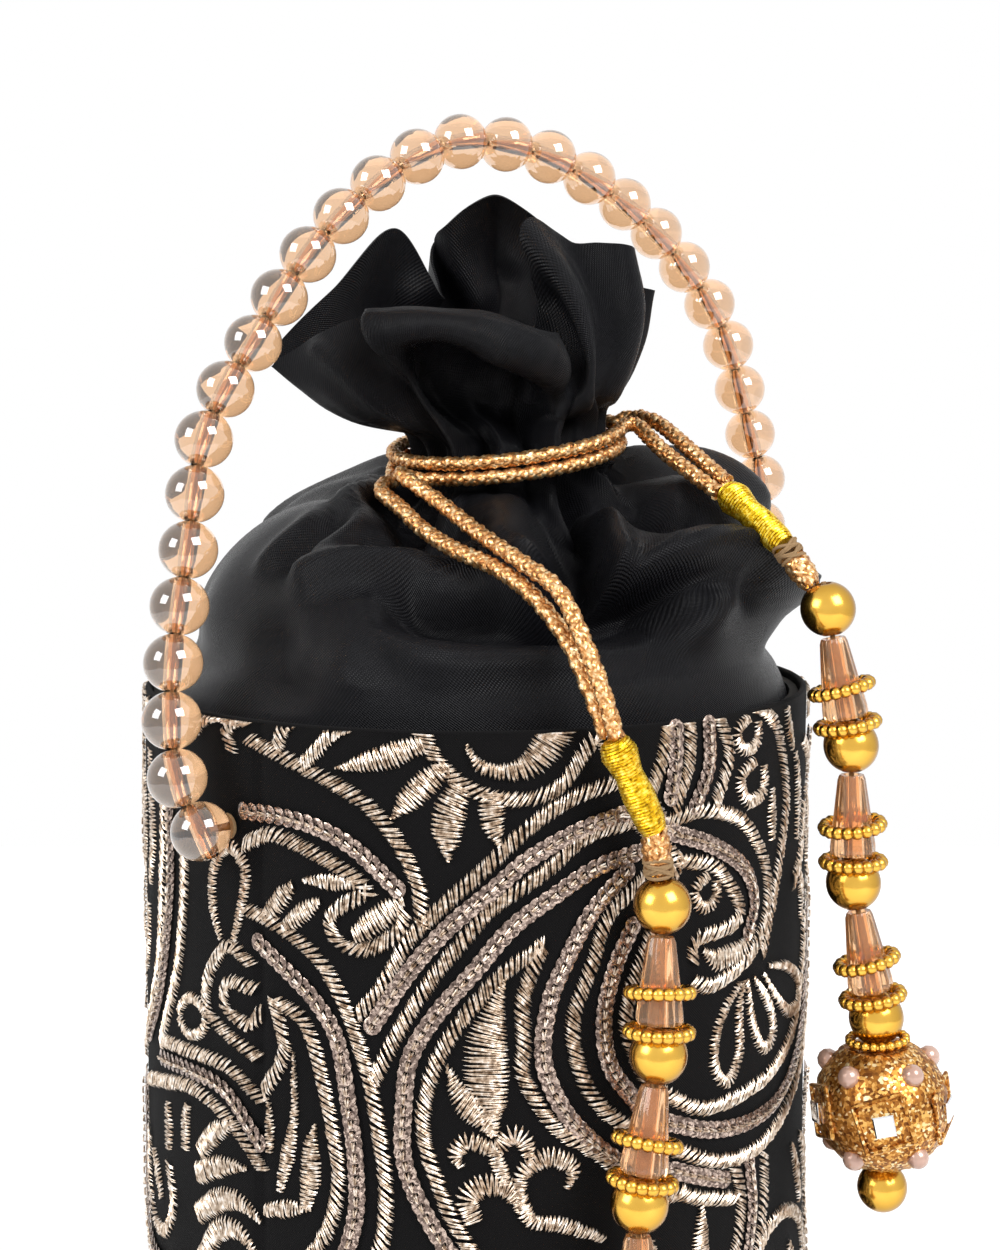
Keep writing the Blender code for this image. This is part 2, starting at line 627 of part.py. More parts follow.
def handle(glass, thread):
    """Glass beads strung tight on a wire, fused here as one body, on an empty at the hinge."""
    centre, left, forward = handle_frame()
    hinge = bpy.data.objects.new("handle_hinge", None)
    bpy.context.scene.collection.objects.link(hinge)
    hinge.location = centre
    knots = []
    for along, before, rise in HANDLE_CURVE:
        place = (left * along + forward * before) * HALF_SPAN
        knots.append((place.x, place.y, rise * HANDLE_RISE))
    curve = catmull_rom(knots, 12)
    beads = round(curve_length(curve) / HANDLE_BEAD_PITCH)
    body = bead_string("handle_beads", curve, beads, glass, hinge)
    for name, side in (("left", left), ("right", -left)):
        pin = handle_pin(side, hinge)
        union = body.modifiers.new(f"{name}_pin", "BOOLEAN")
        union.operation = "UNION"
        union.object = pin
        bore = HANDLE_PIN_RADIUS + CLEARANCE
        ring_outline = tube_outline(bore, STITCH_RING_RADIUS, 0.0, STITCH_RING_THICKNESS)
        place = facing(centre + side * (DRUM_RADIUS + CLEARANCE), side)
        turned(f"{name}_stitch_ring", ring_outline, thread, sides=16, place=place)


def handle_pin(side, hinge):
    """A guide for the wire's bent end, which turns in the stitched ring."""
    low = DRUM_RADIUS + CLEARANCE
    length = HALF_SPAN - low
    outline = ((0.0, 0.0), (HANDLE_PIN_RADIUS, 0.0), (HANDLE_PIN_RADIUS, length), (0.0, length))
    pin = turned("pin_guide", outline, None, sides=12, parent=hinge, place=facing(side * low, side))
    pin.hide_render = True
    pin.display_type = "WIRE"
    return pin


def bead_string(name, curve, beads, finish, parent):
    """Sweeps a section along the curve that swells at each bead and necks in between."""
    radius = HANDLE_BEAD_DIAMETER / 2
    pitch = curve_length(curve) / beads
    half = pitch / 2
    offsets = (-BEAD_SHOULDER * radius, 0.0, BEAD_SHOULDER * radius, half)
    stations = [(bead * pitch + offset, offset) for bead in range(beads + 1) for offset in offsets]
    stations = [(-half, half)] + stations
    maker = bmesh.new()
    steps = np.linalg.norm(np.diff(curve, axis=0), axis=1)
    length = np.concatenate([[0.0], np.cumsum(steps)])
    rings = []
    for station, offset in stations:
        inside = min(max(station, 0.0), length[-1])
        place = Vector([float(np.interp(inside, length, curve[:, axis])) for axis in range(3)])
        before = [float(np.interp(inside - half, length, curve[:, axis])) for axis in range(3)]
        after = [float(np.interp(inside + half, length, curve[:, axis])) for axis in range(3)]
        tangent = (Vector(after) - Vector(before)).normalized()
        place += tangent * (station - inside)
        across = tangent.cross(Vector((0.45, -0.89, 0.0))).normalized()
        beside = tangent.cross(across)
        size = math.sqrt(max(radius ** 2 - offset ** 2, 0.0))
        ring = []
        for side in range(HANDLE_BEAD_SIDES):
            angle = 2 * math.pi * side / HANDLE_BEAD_SIDES
            ring.append(maker.verts.new(place + size * (math.cos(angle) * across + math.sin(angle) * beside)))
        rings.append(ring)
    for low, high in zip(rings, rings[1:]):
        for side in range(HANDLE_BEAD_SIDES):
            following = (side + 1) % HANDLE_BEAD_SIDES
            maker.faces.new((low[side], low[following], high[following], high[side]))
    maker.faces.new(rings[0])
    maker.faces.new(rings[-1])
    return add_object(name, maker, finish, parent=parent)


def main():
    clear_scene()
    cloth = material("embroidered_cloth", (0.16, 0.13, 0.10), 0.75)
    card = material("card", (0.45, 0.38, 0.28), 0.9)
    lining = material("lining_cloth", (0.02, 0.02, 0.022), 0.8)
    satin = material("black_satin", (0.012, 0.012, 0.014), 0.38)
    braid = material("rose_gold_braid", (0.62, 0.33, 0.14), 0.4, 0.6)
    thread = material("gold_thread", (0.80, 0.60, 0.02), 0.35, 0.7)
    tie = material("beige_thread", (0.42, 0.28, 0.14), 0.8)
    gold = material("gold_plate", (0.80, 0.52, 0.08), 0.22, 1.0)
    peach = material("peach_glass", (0.90, 0.50, 0.28), 0.08)
    glitter = material("copper_glitter", (0.62, 0.30, 0.08), 0.5, 0.6)
    drum(cloth, card, lining)
    satin_cloth(satin)
    handle(peach, tie)
    left_turn = neck_turn(-36, 258, LEFT_CORD_TURN)
    drawstring("left_drawstring", LEFT_STRAND_FROM_FRONT, left_turn, LEFT_STRAND_FROM_BACK, braid)
    right_turn = neck_turn(76, -252, RIGHT_CORD_TURN)
    drawstring("right_drawstring", RIGHT_STRAND_FROM_FRONT, right_turn, RIGHT_STRAND_FROM_BACK, braid)
    finishes = (thread, tie, gold, peach, glitter)
    tassel("left", LEFT_BINDING, LEFT_FIRST_BEAD, LEFT_LEANS, finishes)
    tassel("right", RIGHT_BINDING, RIGHT_FIRST_BEAD, RIGHT_LEANS, finishes)


main()
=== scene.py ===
# %% [markdown]
# # A drawstring pouch, piece by piece
# The pouch is a stiff round drum of embroidered cloth with a gathered satin top. Two
# braided cords draw its neck shut and end in beaded tassels, and a handle of glass beads
# arches over it. The solid model already says where every piece is. This script gives
# each piece its fine shape and its finish. Lengths are millimetres until a mesh is made.

# %% Load the solid model
import math
import random

import bpy
import numpy as np
from mathutils import Matrix, Vector


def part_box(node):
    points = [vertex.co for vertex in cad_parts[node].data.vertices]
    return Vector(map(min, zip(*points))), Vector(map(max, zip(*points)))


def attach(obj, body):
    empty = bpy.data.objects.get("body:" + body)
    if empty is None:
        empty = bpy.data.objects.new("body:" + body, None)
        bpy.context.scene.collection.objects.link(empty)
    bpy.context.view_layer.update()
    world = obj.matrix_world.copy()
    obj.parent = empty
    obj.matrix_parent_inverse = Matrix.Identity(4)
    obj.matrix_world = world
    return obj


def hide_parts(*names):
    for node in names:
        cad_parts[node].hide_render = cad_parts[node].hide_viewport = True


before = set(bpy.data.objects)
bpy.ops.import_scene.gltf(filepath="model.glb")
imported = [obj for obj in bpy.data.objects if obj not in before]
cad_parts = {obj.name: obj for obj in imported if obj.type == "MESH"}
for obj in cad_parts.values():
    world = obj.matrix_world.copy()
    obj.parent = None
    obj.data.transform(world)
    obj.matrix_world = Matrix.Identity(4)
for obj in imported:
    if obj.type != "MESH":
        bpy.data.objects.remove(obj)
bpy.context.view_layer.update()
MM = 0.001


# %% [markdown]
# ## Shader sums written as sums
# A finish is a graph of nodes, and most of it is arithmetic. One small class wraps a
# socket, so that `u - v` or `relief * 0.5` adds the Math nodes, and its node method
# adds anything else.

# %% A socket that can be added and multiplied
class Socket:
    """An output socket of a material's graph, or the bare graph when output is None."""

    def __init__(self, tree, output=None):
        self.tree = tree
        self.output = output

    def node(self, kind, settings=None, inputs=None, output=0):
        made = self.tree.nodes.new(kind)
        for name, value in (settings or {}).items():
            if name == "stops":
                set_stops(made.color_ramp, value)
            else:
                setattr(made, name, value)
        for name, value in (inputs or {}).items():
            if isinstance(value, Socket):
                self.tree.links.new(value.output, made.inputs[name])
            else:
                made.inputs[name].default_value = value
        return Socket(self.tree, made.outputs[output])

    def math(self, operation, *values):
        return self.node("ShaderNodeMath", {"operation": operation}, dict(enumerate(values)))

    def __add__(self, other):
        return self.math("ADD", self, other)

    def __mul__(self, other):
        return self.math("MULTIPLY", self, other)

    def __sub__(self, other):
        return self.math("SUBTRACT", self, other)


def set_stops(ramp, stops):
    """Fills a colour ramp from (place, colour) pairs."""
    while len(ramp.elements) < len(stops):
        ramp.elements.new(1.0)
    for element, (place, colour) in zip(ramp.elements, stops):
        element.position = place
        element.color = (*colour, 1.0)


# %% [markdown]
# ## A finish in a few lines
# Every finish starts as one Principled shader. Numbers that are the same all over the
# surface are set on its sockets, and only what varies is linked.

# %% Make a finish, and link what varies
def new_finish(name, colour, **sockets):
    """A material with a Principled shader; returns it with its graph and its shader."""
    finish = bpy.data.materials.new(name)
    finish.use_nodes = True
    shader = finish.node_tree.nodes["Principled BSDF"]
    shader.inputs["Base Color"].default_value = (*colour, 1.0)
    for socket, value in sockets.items():
        shader.inputs[socket.replace("_", " ")].default_value = value
    return finish, Socket(finish.node_tree), shader


def link(graph, value, shader, socket):
    graph.tree.links.new(value.output, shader.inputs[socket])


def object_place(graph):
    """Places on the surface in metres, the same in every view."""
    return graph.node("ShaderNodeTexCoord", output="Object")


def noise(graph, place, scale, detail=2.0):
    return graph.node("ShaderNodeTexNoise", inputs={"Vector": place, "Scale": scale, "Detail": detail})


def between(level, low, high):
    """Stretches a level from 0 to 1 over another span."""
    return level * (high - low) + low


def toned(graph, stops, level):
    """The colour of a ramp at a level from 0 to 1."""
    return graph.node("ShaderNodeValToRGB", {"stops": stops}, {"Fac": level})


def blend_colours(graph, share, first, second):
    """Mixes two colours, each a triple or a socket, by a share from 0 to 1."""
    inputs = {"Factor": share}
    for socket, colour in (("A", first), ("B", second)):
        inputs[socket] = colour if isinstance(colour, Socket) else (*colour, 1.0)
    made = graph.tree.nodes.new("ShaderNodeMix")
    made.data_type = "RGBA"
    for socket in made.inputs:
        if socket.enabled and socket.name in inputs:
            value = inputs[socket.name]
            if isinstance(value, Socket):
                graph.tree.links.new(value.output, socket)
            else:
                socket.default_value = value
    output = next(socket for socket in made.outputs if socket.enabled)
    return Socket(graph.tree, output)


def bump(graph, height, strength, distance):
    inputs = {"Height": height, "Strength": strength, "Distance": distance}
    return graph.node("ShaderNodeBump", inputs=inputs)


# %% [markdown]
# ## Cloth finishes
# Satin is a slanted twill whose threads float over each other. It is almost black, and
# its smooth floats give it a soft shine along the folds. The drum's ground cloth is a
# duller black weave. Both weaves are bumps in the surface's own threads, read from its
# UV map, one unit to a millimetre. The satin's colour follows its bumps as painted
# light: painted shade in the gaps between floats, and lighter on the floats' tops.

# %% Woven blacks
TWILL_PITCH = 0.56
TWILL_SLANT = 1.3
FLOAT_PITCH = 1.6 * TWILL_PITCH
# Painted weave shading: the colour of the shaded gaps between floats and of the lit float tops.
FLOAT_GAP_PAINTED_SHADE = (0.0004, 0.0004, 0.0005)
FLOAT_TOP_PAINTED_LIGHT = (0.014, 0.014, 0.017)
GROUND_THREADS = 2.2


def uv_pair(graph):
    """The two UV coordinates as sockets, in millimetres of cloth."""
    uv = graph.node("ShaderNodeUVMap")
    split = graph.node("ShaderNodeSeparateXYZ", inputs={"Vector": uv}).output.node
    return Socket(graph.tree, split.outputs["X"]), Socket(graph.tree, split.outputs["Y"])


def weave(graph, count):
    """Height of a plain weave with a count of threads to the millimetre."""
    u, v = uv_pair(graph)
    warp = u.math("SINE", u * (count * math.tau))
    weft = v.math("SINE", v * (count * math.tau))
    return warp * weft


def satin_finish():
    """Fine slanted twill, broken into short floats, that catches the light in grains, with painted shade in
    its gaps.
    """
    finish, graph, shader = new_finish(
        "black_satin", (0.006, 0.006, 0.007), Roughness=0.28, Specular_IOR_Level=0.1,
        Sheen_Weight=0.008, Sheen_Roughness=0.3, Anisotropic=0.3,
    )
    u, v = uv_pair(graph)
    twill = u.math("SINE", (u + v * TWILL_SLANT) * (math.tau / TWILL_PITCH))
    floats = u.math("SINE", (u * TWILL_SLANT - v) * (math.tau / FLOAT_PITCH))
    slubs = noise(graph, object_place(graph), scale=900.0)
    relief = twill * 0.7 + floats * 0.5 + slubs
    link(graph, bump(graph, relief, strength=0.7, distance=0.00009), shader, "Normal")
    # Painted shade and light: the colour follows the weave's height, darker in the gaps and lighter on the
    # tops.
    weave_painted_shade = blend_colours(graph, between(relief, 0.3, 0.65), FLOAT_GAP_PAINTED_SHADE, FLOAT_TOP_PAINTED_LIGHT)
    link(graph, weave_painted_shade, shader, "Base Color")
    worn = noise(graph, object_place(graph), scale=60.0)
    link(graph, between(worn, 0.21, 0.35), shader, "Roughness")
    return finish


def ground_finish():
    finish, graph, shader = new_finish(
        "embroidery_ground", (0.0045, 0.0042, 0.0045), Roughness=0.85, Specular_IOR_Level=0.1,
        Sheen_Weight=0.02, Sheen_Roughness=0.5,
    )
    nap = noise(graph, object_place(graph), scale=1500.0)
    relief = weave(graph, GROUND_THREADS) + nap * 1.5
    link(graph, bump(graph, relief, strength=0.6, distance=0.00012), shader, "Normal")
    return finish


def plain_cloth_finish(name, colour, grain):
    finish, graph, shader = new_finish(name, colour, Roughness=0.9, Specular_IOR_Level=0.2)
    nap = noise(graph, object_place(graph), grain)
    link(graph, bump(graph, nap, strength=0.5, distance=0.0002), shader, "Normal")
    darker = tuple(0.7 * value for value in colour)
    link(graph, blend_colours(graph, nap, darker, colour), shader, "Base Color")
    return finish


# %% [markdown]
# ## Thread finishes
# Zari is a flat metal strip wound on a core. Along each thread the colour swings from
# silver through champagne to a brownish gold. The swing is partly the thread's own tone
# and partly painted light: the silver is a painted glint and the brownish gold painted
# shade, and that is what makes it glitter.

# %% Metallic threads
def metal_thread_finish(name, tones, roughness, metallic, scale):
    """A metallic thread whose colour swings between dark, middle and light tones: painted shade, its own
    tone and a painted glint.
    """
    finish, graph, shader = new_finish(name, tones[1], Roughness=roughness, Metallic=metallic)
    place = object_place(graph)
    swing = noise(graph, place, scale, detail=3.0)
    # Painted light: the random swing runs from painted shade to a painted glint.
    link(graph, toned(graph, list(zip((0.30, 0.5, 0.68), tones)), swing), shader, "Base Color")
    grain = noise(graph, place, scale * 2.0)
    link(graph, bump(graph, grain, strength=0.5, distance=0.0001), shader, "Normal")
    link(graph, between(swing, roughness - 0.12, roughness + 0.18), shader, "Roughness")
    return finish


def braid_finish():
    """Metallic yarn that swings at random from brown through rose gold to pale gold: the brown is painted
    shade and the pale gold a painted highlight.
    """
    finish, graph, shader = new_finish("rose_gold_braid", (0.70, 0.36, 0.10), Roughness=0.3, Metallic=0.8)
    swing = between(noise(graph, object_place(graph), scale=1300.0), 0.1, 0.9)
    # Painted light: the dark brown stop is painted shade and the pale gold stop a painted highlight.
    stops = [(0.32, (0.24, 0.08, 0.02)), (0.5, (0.68, 0.33, 0.11)), (0.64, (1.0, 0.78, 0.45))]
    link(graph, toned(graph, stops, swing), shader, "Base Color")
    return finish


# %% [markdown]
# ## Metal, glass and glitter
# The hollow beads are plated and polished, with faint dulling where fingers touch, and
# their gold is painted dark brown toward the edge, a painted reflection of darker
# surroundings. The handle's beads are clear peach glass with a drilled hole. The cones
# are moulded plastic, cloudy inside. Both balls are rolled in copper glitter, and
# sequins are cut from a film that shines in flakes.

# %% Hard finishes
def gold_finish():
    finish, graph, shader = new_finish("gold_plate", (0.62, 0.35, 0.06), Metallic=1.0, Roughness=0.18)
    place = object_place(graph)
    rubbed = noise(graph, place, scale=220.0, detail=4.0)
    link(graph, between(rubbed, 0.12, 0.28), shader, "Roughness")
    plated = blend_colours(graph, rubbed, (0.70, 0.37, 0.045), (0.90, 0.57, 0.11))
    # Painted shade: the gold turns dark brown toward the edge, standing in for a reflection of darker
    # surroundings.
    facing_away = graph.node("ShaderNodeLayerWeight", inputs={"Blend": 0.45}, output="Facing")
    painted_dark_rim = blend_colours(graph, between(facing_away, -0.1, 1.0), plated, (0.22, 0.09, 0.008))
    link(graph, painted_dark_rim, shader, "Base Color")
    dents = noise(graph, place, scale=500.0)
    link(graph, bump(graph, dents, strength=0.05, distance=0.0002), shader, "Normal")
    return finish


def clouded(graph, shader, scale, first, second):
    """Links a slow drift between two colours to the base colour."""
    cloud = noise(graph, object_place(graph), scale)
    link(graph, blend_colours(graph, cloud, first, second), shader, "Base Color")


def glass_finish():
    finish, graph, shader = new_finish(
        "peach_glass", (0.84, 0.50, 0.27), Roughness=0.02, IOR=1.5, Transmission_Weight=1.0,
        Coat_Weight=1.0, Coat_Roughness=0.01, Coat_IOR=1.9,
    )
    clouded(graph, shader, 160.0, (0.80, 0.43, 0.20), (0.88, 0.57, 0.34))
    return finish


def cone_finish():
    finish, graph, shader = new_finish(
        "peach_plastic", (1.0, 0.72, 0.48), Roughness=0.08, IOR=1.49, Transmission_Weight=0.88,
    )
    clouded(graph, shader, 300.0, (1.0, 0.52, 0.23), (1.0, 0.72, 0.45))
    ripples = noise(graph, object_place(graph), scale=900.0)
    link(graph, bump(graph, ripples, strength=0.12, distance=0.0002), shader, "Normal")
    return finish


def pearl_finish():
    finish, graph, shader = new_finish(
        "pink_pearl", (0.62, 0.38, 0.30), Roughness=0.22, Metallic=0.25, Coat_Weight=0.7, Coat_Roughness=0.1,
    )
    clouded(graph, shader, 260.0, (0.50, 0.27, 0.20), (0.78, 0.56, 0.46))
    return finish


def mirror_finish():
    finish, graph, shader = new_finish("cut_mirror", (0.86, 0.88, 0.90), Roughness=0.04, Metallic=1.0)
    haze = noise(graph, object_place(graph), scale=400.0)
    link(graph, between(haze, 0.02, 0.12), shader, "Roughness")
    return finish


def flake_finish(name, colour, roughness, metallic, scale, stops, strength, distance):
    """Small flakes, each of one tone and one tilt."""
    finish, graph, shader = new_finish(name, colour, Roughness=roughness, Metallic=metallic)
    inputs = {"Vector": object_place(graph), "Scale": scale}
    flakes = graph.node("ShaderNodeTexVoronoi", inputs=inputs, output="Color")
    level = graph.node("ShaderNodeSeparateColor", inputs={"Color": flakes})
    link(graph, toned(graph, stops, level), shader, "Base Color")
    link(graph, bump(graph, level, strength, distance), shader, "Normal")
    return finish


GLITTER_TONES = (
    (0.0, (0.15, 0.045, 0.01)), (0.5, (0.48, 0.19, 0.03)),
    (0.85, (0.88, 0.50, 0.14)), (1.0, (1.0, 0.88, 0.55)),
)
FILM_TONES = ((0.0, (0.075, 0.05, 0.04)), (0.55, (0.25, 0.18, 0.15)), (0.9, (0.64, 0.50, 0.42)))
# Thread tones from painted shade, through the thread's own colour, to a painted glint.
ZARI_SHADE_TO_GLINT = ((0.19, 0.115, 0.065), (0.66, 0.53, 0.41), (1.0, 0.93, 0.86))
WRAP_SHADE_TO_GLINT = ((0.32, 0.16, 0.0), (0.84, 0.54, 0.01), (1.0, 0.84, 0.16))

SATIN = satin_finish()
GROUND = ground_finish()
LINING = plain_cloth_finish("lining_cloth", (0.016, 0.016, 0.018), grain=1200.0)
CARD = plain_cloth_finish("black_card", (0.02, 0.018, 0.016), grain=500.0)
TIE = plain_cloth_finish("beige_thread", (0.42, 0.27, 0.14), grain=2500.0)
ZARI = metal_thread_finish("champagne_zari", ZARI_SHADE_TO_GLINT, roughness=0.3, metallic=0.75, scale=1100.0)
BRAID = braid_finish()
WRAP = metal_thread_finish("gold_wrap", WRAP_SHADE_TO_GLINT, roughness=0.3, metallic=0.8, scale=1400.0)
GOLD = gold_finish()
GLASS = glass_finish()
CONE = cone_finish()
GLITTER = flake_finish(
    "copper_glitter", (0.62, 0.30, 0.08), roughness=0.35, metallic=0.85, scale=2100.0,
    stops=GLITTER_TONES, strength=1.0, distance=0.0006,
)
SEQUIN = flake_finish(
    "sequin_film", (0.28, 0.2, 0.17), roughness=0.25, metallic=0.7, scale=2600.0,
    stops=FILM_TONES, strength=0.5, distance=0.0003,
)
PEARL = pearl_finish()
MIRROR = mirror_finish()
print("finishes:", len(bpy.data.materials))


# %% [markdown]
# ## Camera
# The photograph was taken from a little above the rim, tipped down three degrees. Its
# frame is cropped low, so the lens is shifted down and the picture has no keystone.

# %% Camera at the photograph's place
CAMERA_PLACE = (4.3, -410.0, 198.0)
CAMERA_TILT = 3.3
FOCAL_PIXELS = 2270.0
PICTURE_HEIGHT = 1250.0
AXIS_ROW = 489.0

scene = bpy.context.scene
lens = bpy.data.cameras.new("camera")
lens.sensor_width = 36.0
lens.lens = FOCAL_PIXELS * lens.sensor_width / PICTURE_HEIGHT
lens.shift_y = -(PICTURE_HEIGHT / 2 - AXIS_ROW) / PICTURE_HEIGHT
lens.clip_start = 0.01
camera = bpy.data.objects.new("camera", lens)
camera.location = [value * MM for value in CAMERA_PLACE]
camera.rotation_euler = (math.radians(90.0 - CAMERA_TILT), 0.0, 0.0)
scene.collection.objects.link(camera)
scene.camera = camera
scene.view_settings.view_transform = "Standard"
print("lens:", round(lens.lens, 1), "mm")


# %% [markdown]
# ## Studio
# A white world is the backdrop, and also what glass and metal reflect. It lights the
# rest at a lower level, and two soft boxes model the forms from the front.

# %% World, soft boxes and floor
AMBIENT = 0.3
FLOOR_GLOW = 0.56
FLOOR_SIDE = 1.0
FLOOR_GAP = 0.2
WHITE = (1.0, 1.0, 1.0, 1.0)
MIDDLE = (0.0, 0.0, 0.14)


def seen_rays(graph):
    """One for what the camera, a reflection or a clear piece sees, and nothing for light."""
    path = graph.node("ShaderNodeLightPath").output.node
    seen = Socket(graph.tree, path.outputs["Is Camera Ray"])
    for kind in ("Is Glossy Ray", "Is Transmission Ray"):
        seen = seen.math("MAXIMUM", seen, Socket(graph.tree, path.outputs[kind]))
    return seen


def studio_world():
    world = bpy.data.worlds.new("studio")
    scene.world = world
    world.use_nodes = True
    graph = Socket(world.node_tree)
    background = world.node_tree.nodes["Background"]
    background.inputs["Color"].default_value = WHITE
    link(graph, between(seen_rays(graph), AMBIENT, 1.0), background, "Strength")


def soft_box(name, place, side, watts):
    """A square lamp that faces the middle of the pouch."""
    lamp = bpy.data.lights.new(name, "AREA")
    lamp.size = side
    lamp.energy = watts
    holder = bpy.data.objects.new(name, lamp)
    holder.location = place
    holder.rotation_euler = (Vector(MIDDLE) - Vector(place)).to_track_quat("-Z", "Y").to_euler()
    scene.collection.objects.link(holder)


def floor():
    """A white floor that shows as white as the world, and keeps the pouch's shadow."""
    half = FLOOR_SIDE / 2
    corners = [(-half, -half, 0.0), (half, -half, 0.0), (half, half, 0.0), (-half, half, 0.0)]
    mesh = bpy.data.meshes.new("floor")
    mesh.from_pydata(corners, [], [(0, 1, 2, 3)])
    finish, graph, shader = new_finish("white_floor", (0.9, 0.9, 0.9), Roughness=0.8)
    link(graph, seen_rays(graph) * FLOOR_GLOW, shader, "Emission Strength")
    shader.inputs["Emission Color"].default_value = WHITE
    mesh.materials.append(finish)
    thing = bpy.data.objects.new("floor", mesh)
    thing.location.z = -FLOOR_GAP * MM
    scene.collection.objects.link(thing)


studio_world()
soft_box("window_box", place=(0.56, -0.62, 0.80), side=0.58, watts=9.6)
soft_box("round_box", place=(-0.70, -0.42, 0.52), side=0.44, watts=4.0)
floor()
print("lamps:", len(bpy.data.lights))


# %% [markdown]
# ## Meshes from arrays
# Thousands of stitches are quickest as arrays: one function turns points and faces into
# a piece, and a few others make the arrays for tubes and turned shapes.

# %% Piece, tube and turned shapes
SHARP_ANGLE = 50


def add_piece(name, points, faces, finish, slot, body="bag", uv=None, matrix=None, smooth=True):
    """A mesh from points in millimetres, which rides on a body of the solid model."""
    mesh = bpy.data.meshes.new(name)
    mesh.from_pydata((np.asarray(points) * MM).tolist(), [], [list(map(int, face)) for face in faces])
    mesh.materials.append(finish)
    if uv is not None:
        layer = mesh.uv_layers.new(name="UVMap")
        layer.data.foreach_set("uv", np.asarray(uv, dtype=np.float32).ravel())
    if smooth:
        mesh.shade_smooth()
        mesh.set_sharp_from_angle(angle=math.radians(SHARP_ANGLE))
    return place_piece(name, mesh, body, matrix)


def place_piece(name, mesh, body="bag", matrix=None):
    piece = bpy.data.objects.new(name, mesh)
    if matrix is not None:
        piece.matrix_world = matrix
    scene.collection.objects.link(piece)
    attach(piece, body)
    return piece


def joined(parts):
    """One pair of arrays from several (points, faces) pairs."""
    points, faces, base = [], [], 0
    for some_points, some_faces in parts:
        points.append(np.asarray(some_points))
        faces += [[base + int(i) for i in face] for face in some_faces]
        base += len(some_points)
    return np.concatenate(points), faces


def ring_faces(rings, sides, closed=False):
    """Faces between rings of points, either capped at both ends or closed into a loop."""
    faces = []
    for ring in range(rings if closed else rings - 1):
        low, high = ring * sides, (ring + 1) % rings * sides
        for side in range(sides):
            after = (side + 1) % sides
            faces.append((low + side, low + after, high + after, high + side))
    if not closed:
        last = (rings - 1) * sides
        faces += [list(range(sides))[::-1], list(range(last, last + sides))]
    return faces


def ring_uv(edges, marks):
    """UV map for the faces between rings: edges round the rings, and marks along them."""
    corners = []
    for low, high in zip(marks, marks[1:]):
        for left, right in edges:
            corners += [(left, low), (right, low), (right, high), (left, high)]
    return corners


def circle(radius, height, count):
    angles = [math.tau * i / count for i in range(count)]
    return [(radius * math.cos(angle), radius * math.sin(angle), height) for angle in angles]


def catmull_rom(points, count):
    """A smooth curve through the points, with count steps in each span."""
    knots = np.array(points, dtype=float)
    ends = np.vstack([2 * knots[0] - knots[1], knots, 2 * knots[-1] - knots[-2]])
    steps = np.arange(count)[:, None] / count
    spans = [curve_point(ends[i - 1:i + 3], steps) for i in range(1, len(ends) - 2)]
    return np.concatenate([*spans, knots[-1:]])


def curve_point(four, t):
    before, start, end, after = four
    return 0.5 * (
        2 * start
        + (end - before) * t
        + (2 * before - 5 * start + 4 * end - after) * t ** 2
        + (3 * start - before - 3 * end + after) * t ** 3
    )


def even_points(curve, count):
    """Reads count + 1 points at equal distances along a sampled curve."""
    steps = np.linalg.norm(np.diff(curve, axis=0), axis=1)
    length = np.concatenate([[0.0], np.cumsum(steps)])
    stations = np.linspace(0.0, length[-1], count + 1)
    return np.stack([np.interp(stations, length, curve[:, axis]) for axis in range(curve.shape[1])], axis=1)


def curve_length(curve):
    return float(np.linalg.norm(np.diff(curve, axis=0), axis=1).sum())


def travelling_frames(path):
    """Two directions across a path at each point, which turn as little as they can."""
    tangents = np.gradient(path, axis=0)
    tangents /= np.linalg.norm(tangents, axis=1, keepdims=True)
    across = np.cross(tangents[0], (0.3, 0.2, 0.9))
    first = []
    for tangent in tangents:
        across = across - tangent * np.dot(across, tangent)
        across /= np.linalg.norm(across)
        first.append(across)
    first = np.array(first)
    return first, np.cross(tangents, first)


def tube(path, radius, sides=8):
    """A round tube along a path, with closed ends."""
    first, second = travelling_frames(path)
    angles = np.arange(sides) * math.tau / sides
    radii = np.broadcast_to(np.asarray(radius, dtype=float), (len(path),))
    ring = np.cos(angles)[None, :, None] * first[:, None] + np.sin(angles)[None, :, None] * second[:, None]
    points = (path[:, None] + radii[:, None, None] * ring).reshape(-1, 3)
    return points, ring_faces(len(path), sides)


def turned(outline, sides):
    """Turns a closed (radius, height) outline round Z; a point on the axis is a pole."""
    points, rings = [], []
    for radius, height in outline:
        count = 1 if radius == 0.0 else sides
        angles = np.arange(count) * math.tau / sides
        rings.append([len(points) + i for i in range(count)])
        points += [(radius * math.sin(a), -radius * math.cos(a), height) for a in angles]
    faces = []
    closed = len(rings[0]) > 1
    for low, high in zip(rings, rings[1:] + ([rings[0]] if closed else [])):
        for side in range(sides):
            after = (side + 1) % sides
            corners = [low[side % len(low)], low[after % len(low)]]
            corners += [high[after % len(high)], high[side % len(high)]]
            faces.append(list(dict.fromkeys(corners)))
    return np.array(points), faces


def moved(part, matrix):
    """The same faces with their points moved by a matrix in millimetres."""
    points, faces = part
    turn = np.array(matrix.to_3x3())
    return points @ turn.T + np.array(matrix.translation), faces


def facing(point, toward, spin=0.0):
    """A placement at a point whose Z runs along a direction."""
    turn = Vector(toward).to_track_quat("Z", "Y").to_matrix().to_4x4()
    return Matrix.Translation(point) @ turn @ Matrix.Rotation(spin, 4, "Z")


def direction(azimuth):
    """A level direction: 0 degrees is toward -Y and 90 degrees toward +X."""
    angle = math.radians(azimuth)
    return np.array([math.sin(angle), -math.cos(angle), 0.0])


def node_centre(node):
    low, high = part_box(node)
    return (Vector(low) + Vector(high)) / 2 / MM


# %% [markdown]
# ## The drawstrings' routes
# Each drawstring leaves one thread binding, climbs to the neck, goes once round it and
# comes back beside itself. The routes are the ones that the solid cords follow.

